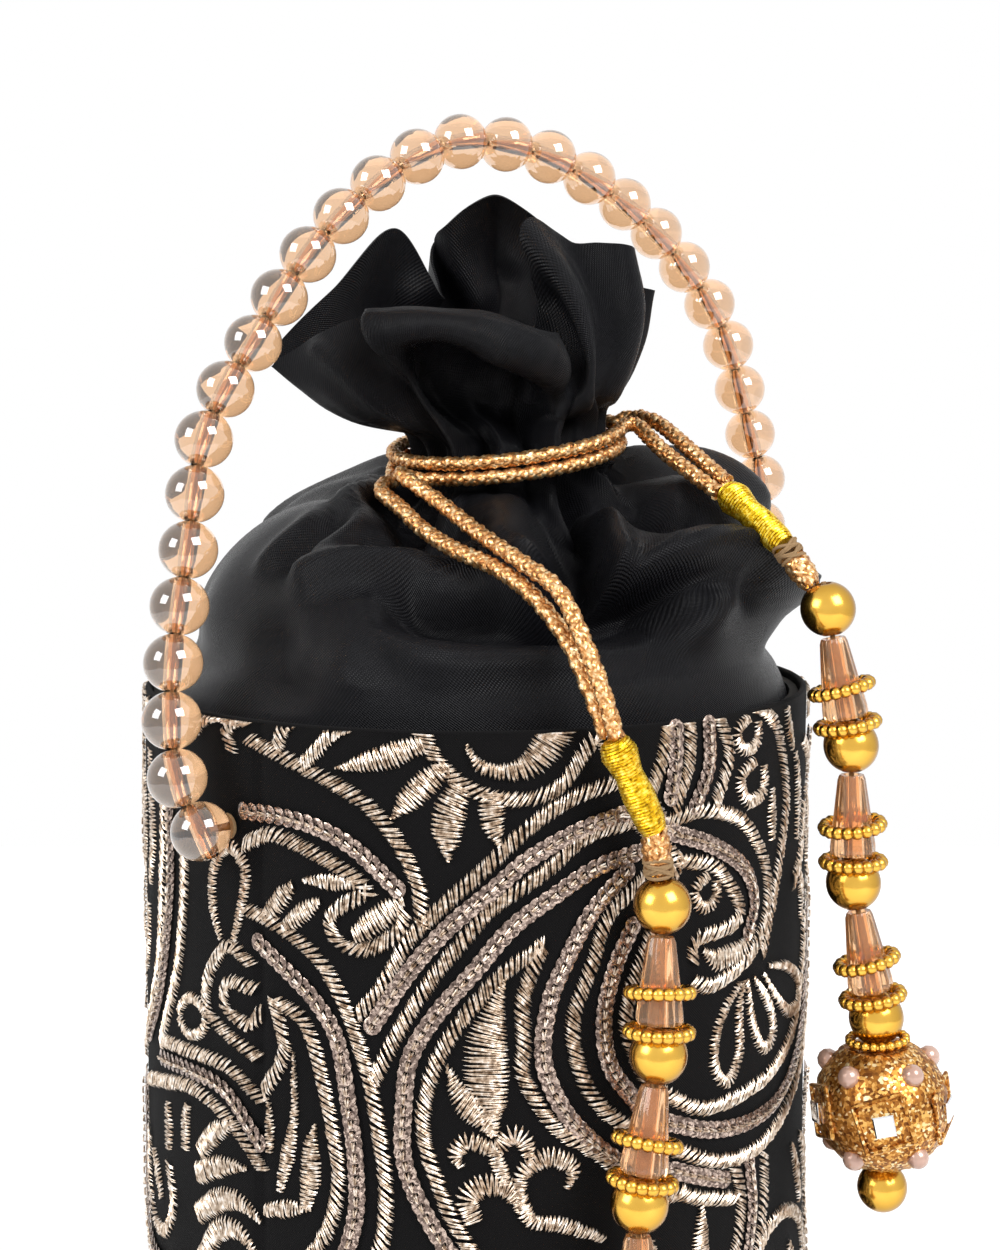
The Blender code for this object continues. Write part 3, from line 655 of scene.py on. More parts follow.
# %% Drum, neck and cord sizes, and the routes
DRUM_RADIUS = 59.5
DRUM_HEIGHT = 140.0
NECK_RADIUS = 18.5
NECK_HEIGHT = 182.0
NECK_CENTRE_X = 5.5
NECK_SLOPE = (0.11, 0.14)
CORD_DIAMETER = 3.0
CORD_GAP = 0.5
CORD_TURN_RADIUS = NECK_RADIUS + CORD_GAP + CORD_DIAMETER / 2

LEFT_CORD_TURN = -1.35
LEFT_STRAND_FROM_FRONT = (
    (-10.2, -16.6, 177.0), (-12.6, -18.2, 177.9), (-12.0, -21.4, 177.6), (-5.8, -27.5, 173.6),
    (1.0, -38.3, 169.2), (7.5, -48.6, 165.6), (13.5, -56.4, 161.6), (17.5, -62.2, 153.8),
    (20.5, -63.4, 145.6), (22.2, -63.2, 139.8),
)
LEFT_STRAND_FROM_BACK = (
    (-14.9, -5.0, 177.4), (-14.6, -10.0, 176.4), (-15.8, -15.0, 176.0), (-15.9, -20.0, 174.8),
    (-12.6, -25.5, 172.6), (-8.3, -31.7, 169.2), (-3.1, -38.8, 166.6), (3.6, -45.2, 164.2),
    (9.6, -52.0, 160.3), (14.9, -57.6, 153.8), (18.5, -59.8, 145.8), (20.9, -60.2, 139.5),
)
RIGHT_CORD_TURN = 1.35
RIGHT_STRAND_FROM_FRONT = (
    (26.6, -1.5, 185.8), (28.9, -0.6, 186.0), (31.0, -5.5, 183.8), (33.6, -10.2, 181.2),
    (37.3, -16.3, 178.2), (41.7, -21.1, 175.0),
)
RIGHT_STRAND_FROM_BACK = (
    (28.5, 5.2, 187.3), (32.2, 0.6, 186.6), (35.6, -5.5, 184.0), (39.4, -12.3, 180.3),
    (43.6, -18.7, 176.5),
)


def neck_height(x, y):
    """The tied neck is not level: its plane drops toward the front left."""
    return NECK_HEIGHT + NECK_SLOPE[0] * (x - NECK_CENTRE_X) + NECK_SLOPE[1] * y


def neck_turn(start, end, lift):
    """Points of a cord's turn round the neck, from one azimuth to another."""
    count = max(2, round(abs(end - start) / 20))
    points = []
    for i in range(count + 1):
        out = direction(start + (end - start) * i / count)
        x = NECK_CENTRE_X + CORD_TURN_RADIUS * out[0]
        y = CORD_TURN_RADIUS * out[1]
        points.append((x, y, neck_height(x, y) + lift))
    return points


def cord_path(strand_in, turn, strand_out, spacing):
    """A cord's centre line: up one strand, round the neck and back down the other."""
    curve = catmull_rom([*reversed(strand_in), *turn, *strand_out], 8)
    return even_points(curve, round(curve_length(curve) / spacing))


# %% [markdown]
# ## Braided cord
# Eight strands make the cord, four winding each way, and each passes over one strand
# and under the next. A strand's distance from the middle swings as it goes over and
# under, and a dark core fills what shows between.

# %% Plait eight strands along a path
BRAID_STEP = 0.5
BRAID_TURN = 7.2
TIGHTNESS = 0.15
LOOSENING = 4.0
CORE_SHARE = 0.85
STRAND_WIDTH = 0.62
STRAND_THICKNESS = 0.34
STRAND_SWING = 0.22
STRAND_SECTION = ((1.0, 0.0), (0.55, 1.0), (-0.55, 1.0), (-1.0, 0.0), (-0.55, -1.0), (0.55, -1.0))


def strand(path, outward):
    """A flat strand along a path, with its UV map: millimetres along, share across."""
    tangents = np.gradient(path, axis=0)
    sideways = np.cross(outward, tangents)
    sideways /= np.linalg.norm(sideways, axis=1, keepdims=True)
    rings = [
        path + sideways * x * STRAND_WIDTH + outward * y * STRAND_THICKNESS for x, y in STRAND_SECTION
    ]
    points = np.stack(rings, axis=1).reshape(-1, 3)
    sides = len(STRAND_SECTION)
    across = [0.5 + 0.5 * x for x, _ in STRAND_SECTION]
    along = [BRAID_STEP * row for row in range(len(path))]
    uv = [(v, u) for u, v in ring_uv(list(zip(across, across[1:] + across[:1])), along)]
    return points, ring_faces(len(path), sides), uv + [(0.0, 0.5)] * (2 * sides)


def plait(path, radius, turn, strands):
    """Flat strands wound both ways along a path, each over one and under the next."""
    first, second = travelling_frames(path)
    along = np.arange(len(path)) * BRAID_STEP
    radius = np.broadcast_to(np.asarray(radius, dtype=float), (len(path),))
    radius = radius - STRAND_THICKNESS - STRAND_SWING
    parts, uv = [], []
    for number in range(2 * strands):
        way = 1.0 if number % 2 == 0 else -1.0
        angle = way * math.tau * along / turn + math.tau * (number // 2) / strands
        swing = way * np.cos(strands * math.tau * along / turn + math.pi * (number // 2))
        outward = np.cos(angle)[:, None] * first + np.sin(angle)[:, None] * second
        line = path + (radius + STRAND_SWING * swing)[:, None] * outward
        points, faces, strand_uv = strand(line, outward)
        parts.append((points, faces))
        uv += strand_uv
    core = tube(path, radius * CORE_SHARE)
    uv += [(0.0, 0.0)] * sum(len(face) for face in core[1])
    return *joined([*parts, core]), uv


def drawstring(side, strand_in, turn, strand_out):
    """A braid that is drawn tighter where it goes round the neck."""
    path = cord_path(strand_in, turn, strand_out, BRAID_STEP)
    from_axis = np.hypot(path[:, 0] - NECK_CENTRE_X, path[:, 1])
    loose = np.clip((from_axis - CORD_TURN_RADIUS) / LOOSENING, 0.0, 1.0)
    radius = CORD_DIAMETER / 2 - TIGHTNESS * (1.0 - loose)
    points, faces, uv = plait(path, radius, BRAID_TURN, strands=4)
    piece = add_piece(f"{side}_braid", points, faces, BRAID, "rose_gold_braid", uv=uv)
    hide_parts(f"{side}_drawstring")
    print(side, "drawstring:", round(curve_length(path), 1), "mm")
    return piece, path


left_braid, left_path = drawstring(
    "left", LEFT_STRAND_FROM_FRONT, neck_turn(-36, 258, LEFT_CORD_TURN), LEFT_STRAND_FROM_BACK,
)
right_braid, right_path = drawstring(
    "right", RIGHT_STRAND_FROM_FRONT, neck_turn(76, -252, RIGHT_CORD_TURN), RIGHT_STRAND_FROM_BACK,
)


# %% [markdown]
# ## Tassels: bindings and knots
# Gold thread is wound tightly over the two cord ends, in one layer of close turns that
# thickens near the top. Below it the cord's own strands end in a tuft, which a few turns
# of beige thread close.

# %% Wind the gold bindings and tie the beige knots
GOLD_BEAD_RADIUS = 4.6
LEFT_BINDING = ((21.8, -62.1, 139.1), (28.6, -60.3, 124.0))
RIGHT_BINDING = ((43.3, -20.7, 175.1), (52.0, -31.4, 166.6))
BINDING_RADIUS = 2.7
BINDING_LENGTH = 16.0
BINDING_RINGS = 8
BINDING_SHARES = (0.0, 0.05, 0.15, 0.26, 0.38, 0.6, 0.9, 1.0)
BINDING_WIDTHS = (0.74, 0.93, 1.10, 0.96, 0.82, 0.96, 0.88, 0.72)
WIND_PITCH = 0.52
WIND_RADIUS = 0.27
TUFT_SHARES = (0.0, 0.4, 0.75, 1.0)
TUFT_RADII = (2.1, 2.5, 2.2, 1.7)
TUFT_TURN = 9.0
TUFT_SHARE = 0.95
KNOT_GAP = 0.2
TIE_TURNS = 7
TIE_RADIUS = 2.2
TIE_PITCH = 0.32
TIE_THREAD = 0.3
TIE_WAVE = 0.1
TIE_TILTS = (0.42, 0.36)
TIE_WANDER = 2.4


def binding_radius(share):
    """The binding's radius at a share of its length: a lump near its top, then a waist."""
    return BINDING_RADIUS * float(np.interp(share, BINDING_SHARES, BINDING_WIDTHS))


def winding(steps=14):
    """Points of the close winding, which half sinks into the binding."""
    turns = BINDING_LENGTH / WIND_PITCH
    count = int(turns * steps)
    share = np.arange(count + 1) / count
    angle = share * turns * math.tau
    radius = np.array([binding_radius(value) - WIND_RADIUS * 0.6 for value in share])
    return np.stack([radius * np.cos(angle), radius * np.sin(angle), share * BINDING_LENGTH], axis=1)


def wind_binding(side, ends):
    top, foot = (Vector(point) for point in ends)
    outline = [(0.0, 0.0)]
    for step in range(BINDING_RINGS + 1):
        share = step / BINDING_RINGS
        outline.append((binding_radius(share) - WIND_RADIUS, BINDING_LENGTH * share))
    body = turned([*outline, (0.0, BINDING_LENGTH)], 20)
    thread = tube(winding(), WIND_RADIUS, 5)
    place = facing(top, foot - top)
    piece = add_piece(f"{side}_gold_binding", *moved(joined([body, thread]), place), WRAP, "gold_thread")
    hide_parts(f"{side}_binding")
    return piece


def tie_turn(number, height):
    """One turn of the beige thread, a little tilted and waved."""
    angles = np.linspace(0, math.tau, 25)
    x, y = TIE_RADIUS * np.cos(angles), TIE_RADIUS * np.sin(angles)
    ring = np.stack([x, y, TIE_WAVE * np.sin(3 * angles)], axis=1)
    nod = Matrix.Rotation(TIE_TILTS[0] * math.sin(TIE_WANDER * number), 4, "X")
    roll = Matrix.Rotation(TIE_TILTS[1] * math.cos(TIE_WANDER * number), 4, "Y")
    return moved(tube(ring, TIE_THREAD, 6), Matrix.Translation((0, 0, height)) @ (nod @ roll))


def tie_knot(side, ends):
    """The cord's cut end as a woven tuft, and a few turns of beige thread that close it."""
    top, foot = (Vector(point) for point in ends)
    start = top + (foot - top).normalized() * BINDING_LENGTH
    bead = node_centre(f"{side}_gold_bead_1")
    reach = (bead - start).length - GOLD_BEAD_RADIUS - KNOT_GAP
    tuft_start, tie_centre = ((0.0, 0.8) if side == "left" else (0.3, 0.16))
    place = facing(start, bead - start)
    count = round(reach * (1.0 - tuft_start) * TUFT_SHARE / BRAID_STEP)
    path = np.array([(0.0, 0.0, reach * tuft_start + BRAID_STEP * i) for i in range(count + 1)])
    radius = np.interp(np.linspace(0.0, 1.0, count + 1), TUFT_SHARES, TUFT_RADII)
    points, faces, uv = plait(path, radius, TUFT_TURN, strands=6)
    points, faces = moved((points, faces), place)
    tuft = add_piece(f"{side}_woven_tuft", points, faces, BRAID, "rose_gold_braid", uv=uv)
    middle = TIE_TURNS // 2
    heights = [reach * tie_centre + TIE_PITCH * (number - middle) for number in range(TIE_TURNS)]
    loops = [tie_turn(number, height) for number, height in enumerate(heights)]
    tie = add_piece(f"{side}_beige_tie", *moved(joined(loops), place), TIE, "beige_thread")
    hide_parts(f"{side}_knot")
    return [tie, tuft]


bindings = {"left": wind_binding("left", LEFT_BINDING), "right": wind_binding("right", RIGHT_BINDING)}
knots = {"left": tie_knot("left", LEFT_BINDING), "right": tie_knot("right", RIGHT_BINDING)}
print("bindings:", len(bindings), "knots:", len(knots))


# %% [markdown]
# ## Tassels: beads
# Each unit is a polished hollow bead, a moulded cone that widens downward and two
# granulated rings, one resting on the cone and one on the next bead. Every piece takes
# its place from the solid model.

# %% Gold beads, cones and granulated rings
END_BEAD_RADIUS = 4.2
LIP = 0.25
LIP_SHARE = 0.985
BORE = 1.3
CONE_LENGTH = 13.4
CONE_TOP = 2.25
CONE_FOOT = 4.0
CONE_SIDES = 48
CONE_FLATS = 8
CONE_GAP = 0.3
FLAT_DEPTH = 0.09
CONE_RINGS = ((0.0, 0.35), (0.04, 0.08), (0.12, 0.0), (0.5, 0.0), (0.94, 0.0), (1.0, 0.22))
RING_RADIUS = 4.7
GRAINS = 18
GRAIN_RADIUS = 1.16
WIRE_SHARE = 0.62


def bead_outline(radius, half_height, bore, steps=18):
    """Outline of a drilled bead: round outside, with a softened lip at each end of the bore."""
    tip = math.acos((bore + LIP) / radius)
    outline = [(bore, -half_height * math.sin(tip) * LIP_SHARE)]
    for step in range(steps + 1):
        angle = -tip + 2 * tip * step / steps
        outline.append((radius * math.cos(angle), half_height * math.sin(angle)))
    outline.append((bore, half_height * math.sin(tip) * LIP_SHARE))
    return outline


def gold_bead(name, node, radius, axis):
    shape = turned(bead_outline(radius, radius, BORE), 36)
    piece = add_piece(name, *moved(shape, facing(node_centre(node), axis)), GOLD, "gold_plate")
    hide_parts(node)
    return piece


def cone_bead(name, node, bottom, axis):
    """A moulded cone with eight soft flats, a chamfer at its foot and a bore."""
    points = []
    for share, inset in CONE_RINGS:
        radius = CONE_FOOT + (CONE_TOP - CONE_FOOT) * share - inset
        for x, y, z in circle(radius, CONE_LENGTH * share, CONE_SIDES):
            wave = math.cos(CONE_FLATS * math.atan2(y, x))
            flat = 1.0 - FLAT_DEPTH * (0.5 - 0.5 * wave) ** 0.7
            points.append((x * flat, y * flat, z))
    points += circle(BORE, CONE_LENGTH, CONE_SIDES) + circle(BORE, 0.0, CONE_SIDES)
    faces = ring_faces(len(CONE_RINGS) + 2, CONE_SIDES, closed=True)
    piece = add_piece(name, *moved((np.array(points), faces), facing(bottom, axis)), CONE, "peach_glass")
    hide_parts(node)
    return piece


def grain(radius, steps=6):
    """A small round grain as a turned shape."""
    angles = np.linspace(-math.pi / 2, math.pi / 2, steps + 1)
    outline = [(radius * math.cos(a), radius * math.sin(a)) for a in angles]
    outline[0], outline[-1] = (0.0, -radius), (0.0, radius)
    return turned(outline, 10)


def grain_ring(name, node, grain_radius, count, axis, tilt):
    """Round grains soldered in a ring over a thin wire."""
    ring = circle(RING_RADIUS, 0.0, 40)
    parts = [tube(np.array([*ring, ring[0]]), grain_radius * WIRE_SHARE, 6)]
    for spot in circle(RING_RADIUS, 0.0, count):
        parts.append(moved(grain(grain_radius), facing(Vector(spot), Vector(spot))))
    place = facing(node_centre(node), axis)
    for degrees, tilt_axis in zip(tilt, "XY"):
        place = place @ Matrix.Rotation(math.radians(degrees), 4, tilt_axis)
    piece = add_piece(name, *moved(joined(parts), place), GOLD, "gold_plate")
    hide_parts(node)
    return piece


UPPER_TILTS = {"left": ((5, 3), (6, 4), (5, 2)), "right": ((5, -3), (5, 4), (5, -2))}


def string_units(side):
    """The beads, cones and rings of one tassel, top to bottom."""
    made = []
    stops = [node_centre(f"{side}_gold_bead_{n}") for n in (1, 2, 3, 4)]
    stops.append(node_centre(f"{side}_mirror_ball"))
    for n, (centre, below) in enumerate(zip(stops, stops[1:]), 1):
        axis = centre - below
        bead = f"{side}_polished_bead_{n}"
        made.append(gold_bead(bead, f"{side}_gold_bead_{n}", GOLD_BEAD_RADIUS, axis))
        if n == 4:
            break
        bottom = below + axis.normalized() * (GOLD_BEAD_RADIUS + CONE_GAP)
        made.append(cone_bead(f"{side}_moulded_cone_{n}", f"{side}_cone_{n}", bottom, axis))
        for level, tilt in (("upper", UPPER_TILTS[side][n - 1]), ("lower", (0, 0))):
            node = f"{side}_{level}_ring_{n}"
            made.append(grain_ring(f"{node}_grains", node, GRAIN_RADIUS, GRAINS, axis, tilt))
    return made


units = {side: string_units(side) for side in ("left", "right")}
print("tassel pieces:", {side: len(made) for side, made in units.items()})


# %% [markdown]
# ## Tassels: glitter balls
# The ball is coated in glitter, with square mirrors set round its waist in raised
# frames of gold cord, and pearls above and below between them. A ring of small beads
# sits on top, and a plated bead closes the string.

# %% Glitter ball with mirrors and pearls
BALL_RADIUS = 11.25
BALL_FLAT = 5.5
GLITTER_GRAIN = 0.16
CAP_GRAIN_RADIUS = 0.8
CAP_GRAINS = 20
MIRRORS = 5
MIRROR_TURN = 0.15
MIRROR_SPIN = 8
MIRROR_HALF = 1.75
MIRROR_THICKNESS = 0.9
MIRROR_SINK = 0.2
FRAME_HALF = 4.1
FRAME_RADIUS = 0.42
FRAME_SINK = 0.75
FRAME_SPIN = 6
PEARL_RADIUS = 1.95
PEARL_RISE = 38.0
PEARL_TURN = 0.65
SQUARE = ((-1, -1), (1, -1), (1, 1), (-1, 1))


def ball_body():
    """A drilled ball, its skin shaken in and out by the grains of glitter."""
    tip = math.acos(BALL_FLAT / BALL_RADIUS)
    outline = [(BORE, -BALL_RADIUS * math.sin(tip))]
    outline += [(BALL_RADIUS * math.cos(a), BALL_RADIUS * math.sin(a)) for a in np.linspace(-tip, tip, 29)]
    outline.append((BORE, BALL_RADIUS * math.sin(tip)))
    points, faces = turned(outline, 72)
    shake = random.Random(7)
    radius = np.linalg.norm(points, axis=1, keepdims=True)
    rough = np.array([[shake.uniform(-GLITTER_GRAIN, GLITTER_GRAIN)] for _ in points])
    outer = radius > BALL_FLAT + 1.0
    return points * (1.0 + np.where(outer, rough, 0.0) / radius), faces


def square_tube():
    corners = [(x * FRAME_HALF, y * FRAME_HALF, -FRAME_SINK) for x, y in (*SQUARE, SQUARE[0])]
    return tube(even_points(np.array(corners), 40), FRAME_RADIUS, 6)


def mirror_plate(bevel=0.25):
    top = MIRROR_THICKNESS - MIRROR_SINK
    levels = ((MIRROR_HALF, -MIRROR_SINK), (MIRROR_HALF, top - 0.2), (MIRROR_HALF - bevel, top))
    points = [(x * half, y * half, z) for half, z in levels for x, y in SQUARE]
    faces = [(3, 2, 1, 0), (8, 9, 10, 11)]
    for low in (0, 4):
        faces += [(low + i, low + (i + 1) % 4, low + 4 + (i + 1) % 4, low + 4 + i) for i in range(4)]
    return np.array(points), faces


def glitter_ball(side):
    """The ball and what is set in it, each finish a piece of its own."""
    centre = node_centre(f"{side}_mirror_ball")
    axis = node_centre(f"{side}_gold_bead_4") - centre
    place = facing(centre, axis)
    ball = add_piece(f"{side}_glitter_ball", *moved(ball_body(), place), GLITTER, "copper_glitter")
    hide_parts(f"{side}_mirror_ball")
    plates, frames, pearls = [], [], []
    for i in range(MIRRORS):
        turn = Matrix.Rotation(math.tau * (i + MIRROR_TURN) / MIRRORS, 4, "Z")
        out = turn @ facing((0, -BALL_RADIUS, 0), (0, -1, 0), math.radians(MIRROR_SPIN))
        plates.append(moved(mirror_plate(), out))
        askew = Matrix.Rotation(math.radians(FRAME_SPIN), 4, "Z")
        frames.append(moved(square_tube(), out @ askew))
        between_mirrors = math.degrees(math.tau * (i + PEARL_TURN) / MIRRORS)
        for rise in (PEARL_RISE, -PEARL_RISE):
            lift = math.radians(rise)
            spot = Vector(direction(between_mirrors) * math.cos(lift) + np.array([0.0, 0.0, math.sin(lift)]))
            pearls.append(moved(grain(PEARL_RADIUS), facing(spot * (BALL_RADIUS - 0.1), spot)))
    made = [ball]
    settings = (("mirrors", plates, MIRROR), ("frames", frames, GLITTER), ("pearls", pearls, PEARL))
    for name, parts, finish in settings:
        shape = moved(joined(parts), place)
        smooth = name != "mirrors"
        made.append(add_piece(f"{side}_ball_{name}", *shape, finish, "copper_glitter", smooth=smooth))
    cap = (f"{side}_cap_grains", f"{side}_cap_ring")
    made.append(grain_ring(*cap, CAP_GRAIN_RADIUS, CAP_GRAINS, axis, (0, 0)))
    end_axis = centre - node_centre(f"{side}_end_bead")
    made.append(gold_bead(f"{side}_closing_bead", f"{side}_end_bead", END_BEAD_RADIUS, end_axis))
    return made


balls = {side: glitter_ball(side) for side in ("left", "right")}
print("ball pieces:", len(balls["left"]) + len(balls["right"]))


# %% [markdown]
# ## The strings
# A thin string runs down through every bead.

STRING_RADIUS = 0.45


def tassel_string(side):
    """The string from the top of the first bead to the foot of the last."""
    nodes = [f"{side}_gold_bead_{n}" for n in (1, 2, 3, 4)]
    route = [node_centre(node) for node in (*nodes, f"{side}_mirror_ball", f"{side}_end_bead")]
    route.insert(0, route[0] + (route[0] - route[1]).normalized() * GOLD_BEAD_RADIUS)
    route[-1] = route[-1] + (route[-1] - route[-2]).normalized() * END_BEAD_RADIUS
    path = even_points(np.array([tuple(point) for point in route]), 60)
    piece = add_piece(f"{side}_thin_string", *tube(path, STRING_RADIUS), TIE, "beige_thread")
    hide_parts(f"{side}_string")
    return piece, path


def declare(path, carried):
    points = [tuple(point) for point in path * MM]


for side, piece, path in (("left", left_braid, left_path), ("right", right_braid, right_path)):
    declare(path, [bindings[side], *knots[side]])
    string, string_path = tassel_string(side)
    declare(string_path, units[side] + balls[side])


# %% [markdown]
# ## Handle of glass beads
# The beads are strung tight on a wire, so the arch keeps its shape and swings as one
# piece. Each bead is drilled, and the wire shows through the glass. Its ends turn in
# two thread rings sewn to the drum.

# %% Glass beads along the arch
HANDLE_AZIMUTH = -42.0
HINGE_HEIGHT = 122.0
HANDLE_RISE = 114.0
GLASS_RADIUS = 4.9
GLASS_PITCH = 9.25
GLASS_BORE = 1.0
GLASS_GAP = 0.08
GLASS_BULGE = 1.035
HINGE_GAP = 1.1
HALF_SPAN = DRUM_RADIUS + HINGE_GAP + GLASS_RADIUS
WIRE_RADIUS = 0.35
WIRE_END = 0.5
BEAD_SPIN = 0.4
HANDLE_CURVE = (
    (1.00, 0.00, 0.00), (1.03, -0.06, 0.09), (0.99, -0.11, 0.24), (0.92, -0.13, 0.40),
    (0.84, -0.155, 0.56), (0.70, -0.13, 0.69), (0.54, -0.10, 0.82), (0.34, -0.045, 0.93),
    (0.11, 0.02, 1.00), (-0.15, 0.105, 0.99), (-0.385, 0.17, 0.93), (-0.60, 0.21, 0.845),
    (-0.79, 0.25, 0.72), (-0.91, 0.255, 0.565), (-0.985, 0.26, 0.42), (-1.02, 0.18, 0.22),
    (-1.03, 0.06, 0.07), (-1.00, 0.00, 0.00),
)


def handle_curve():
    left = direction(HANDLE_AZIMUTH)
    forward = np.cross((0.0, 0.0, 1.0), left)
    up = np.array([0.0, 0.0, 1.0])
    marks = [
        HALF_SPAN * (along * left + before * forward) + up * (HINGE_HEIGHT + rise * HANDLE_RISE)
        for along, before, rise in HANDLE_CURVE
    ]
    return catmull_rom(marks, 12)


def glass_handle():
    curve = handle_curve()
    count = round(curve_length(curve) / GLASS_PITCH)
    half = (curve_length(curve) / count - GLASS_GAP) / 2
    outline = bead_outline(GLASS_RADIUS, half * GLASS_BULGE, GLASS_BORE, 24)
    points, faces = turned(outline, 40)
    centres = even_points(curve, count)
    tangents = np.gradient(centres, axis=0)
    shared = None
    for i, (centre, tangent) in enumerate(zip(centres, tangents)):
        matrix = facing(Vector(centre) * MM, tangent, BEAD_SPIN * i)
        if shared is None:
            piece = add_piece("glass_bead_1", points, faces, GLASS, "peach_glass", "handle", matrix=matrix)
            shared = piece.data
            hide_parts("handle_beads")
        else:
            place_piece(f"glass_bead_{i + 1}", shared, "handle", matrix)
    left = direction(HANDLE_AZIMUTH)
    hinge = np.array([0.0, 0.0, HINGE_HEIGHT])
    reach = left * (DRUM_RADIUS + WIRE_END)
    ends = [hinge + reach, hinge - reach]
    wire = np.concatenate([[ends[0]], even_points(curve, 160), [ends[1]]])
    add_piece("handle_wire", *tube(wire, WIRE_RADIUS, 8), TIE, "beige_thread", "handle")
    return count + 1


print("glass beads:", glass_handle())

# %% [markdown]
# ## Gathered satin
# One piece of satin is sewn inside the drum's rim, swells out over it, is drawn in at
# the neck and opens again as a ruffle. Rows of control points up the cloth give its
# shape. A row's number says how far up the cloth it is: 0 is the hem, 9 and 10 are the
# two edges of the tied band, and 13 is the ruffle's edge.
#
# Each fold is a ridge, or a hollow where its depth is negative: depth, width and its
# marks of azimuth and row, with depth and width in millimetres.

# %% The satin's outlines, folds and ruffle
HEM_RADIUS = 56.2
HEM_DEPTH = 12.0
HEM_TURN = 3.0
NECK_BAND = 3.8
RUFFLE_HEIGHT = 45.0
PLEATS = 12
PLEAT_DEPTH = 5.6
PLEAT_ROWS_BELOW = 4.5
PLEAT_ROWS_ABOVE = 1.5
TIED_ROWS = 0.9
SATIN_THICKNESS = 0.5
SATIN_SHARP_ANGLE = 80

PUFF_FRONT = (
    (1.00, 0.10), (0.98, 0.24), (0.89, 0.41), (0.75, 0.58),
    (0.54, 0.73), (0.32, 0.86), (0.14, 0.94),
)
PUFF_RIGHT = (
    (0.95, 0.08), (0.90, 0.18), (1.00, 0.39), (0.90, 0.75),
    (0.66, 0.95), (0.34, 0.97), (0.12, 0.97),
)
PUFF_BACK = (
    (0.97, 0.10), (0.95, 0.24), (0.89, 0.46), (0.76, 0.68),
    (0.55, 0.84), (0.31, 0.93), (0.14, 0.97),
)
PUFF_LEFT = (
    (0.93, 0.08), (0.87, 0.20), (0.86, 0.41), (0.75, 0.66),
    (0.55, 0.87), (0.29, 0.99), (0.12, 1.00),
)
FOLDS = (
    (-8.0, 5.0, ((-60, 8.0), (-50, 7.8), (-30, 7.3), (-19, 6.5))),
    (4.0, 4.0, ((28, 8.9), (19, 7.6), (15, 5.9))),
    (2.5, 8.0, ((4, 7.8), (5, 6.4))),
    (-14.0, 7.0, ((36, 8.8), (25, 7.0), (20, 5.6), (21, 4.7), (34, 4.4))),
    (6.5, 3.4, (
        (57, 8.6), (43, 7.3), (32, 6.1), (32, 5.1), (44, 5.1), (56, 5.0), (66, 4.5), (80, 4.2),
    )),
    (-9.0, 6.5, ((55, 7.4), (52, 6.6), (55, 6.0))),
    (3.4, 3.4, ((-21, 4.7), (-16, 4.1), (-8, 3.5), (9, 3.4), (23, 3.6), (38, 3.9), (56, 4.5))),
    (-11.0, 6.0, ((-16, 4.8), (-6, 4.7), (4, 4.6), (12, 4.6))),
    (4.5, 3.6, ((-38, 5.0), (-32, 5.4), (-24, 5.8), (-14, 6.2), (0, 5.8), (9, 5.8))),
    (-4.0, 3.5, ((-28, 6.2), (-18, 6.9), (-8, 6.9))),
    (2.0, 5.0, ((-20, 5.0), (-22, 4.3), (-22, 3.1))),
    (-2.5, 5.0, ((-40, 3.6), (-36, 2.6), (-32, 1.8))),
    (-3.0, 3.5, ((42, 4.55), (48, 4.55), (58, 4.4))),
    (2.0, 3.0, ((-110, 7.6), (-62, 6.6), (-54, 5.2))),
    (2.0, 3.0, ((-96, 7.9), (-46, 6.5), (-41, 5.6))),
    (-2.5, 3.0, ((-104, 7.3), (-52, 6.4), (-46, 5.4))),
    (-3.0, 6.0, ((-150, 8.3), (-155, 5.2))),
    (3.0, 4.0, ((-170, 8.4), (-176, 6.6), (-168, 5.0))),
    (-4.0, 5.0, ((160, 8.4), (165, 6.6), (158, 5.0))),
    (3.0, 4.0, ((140, 8.4), (146, 6.8), (138, 5.4))),
    (-3.0, 6.0, ((125, 8.3), (130, 5.0))),
    (3.0, 4.0, ((100, 8.4), (106, 6.6), (96, 5.2))),
    (-3.0, 5.0, ((84, 8.0), (88, 6.2), (80, 5.2))),
    (-2.0, 7.0, ((-95, 7.5), (-100, 5.3))),
    (3.0, 4.0, ((-124, 8.3), (-130, 6.4), (-122, 5.0))),
    (2.2, 1.8, ((-34, 13), (-38, 12.2), (-38, 11.7), (-34, 11.2), (-28, 10.6), (-24, 10.2))),
    (4.5, 4.0, ((-32, 12.6), (-17, 12.5), (-4, 12.4), (9, 12.2), (20, 11.9), (28, 11.4), (27, 10.4))),
    (-6.0, 7.0, ((-24, 11.4), (-6, 11.0), (11, 10.8), (12, 10.3))),
    (-2.0, 2.5, ((-44, 12.6), (-46, 11.6), (-40, 10.6))),
    (1.8, 2.2, ((-60, 12.6), (-56, 11.6), (-52, 10.5))),
    (2.2, 2.2, ((52, 13), (53, 12.3), (49, 11.5), (50, 10.5))),
    (-3.0, 3.0, ((44, 12.7), (42, 12.2), (40, 11.4))),
    (1.6, 2.0, ((84, 13), (82, 12.0), (80, 10.5))),
    (-2.0, 3.0, ((68, 12.9), (66, 12.0), (62, 10.8))),
    (-3.0, 3.0, ((197, 13), (194, 12.5), (186, 12.0))),
    (2.5, 5.0, ((178, 12.8), (176, 12.2))),
    (2.0, 3.0, ((150, 12.8), (146, 11.6), (140, 10.5))),
    (-2.5, 3.5, ((168, 12.4), (160, 11.4), (154, 10.4))),
    (2.0, 3.0, ((220, 12.6), (212, 11.6), (205, 10.5))),
    (-2.0, 3.0, ((235, 12.6), (228, 11.6), (222, 10.5))),
)
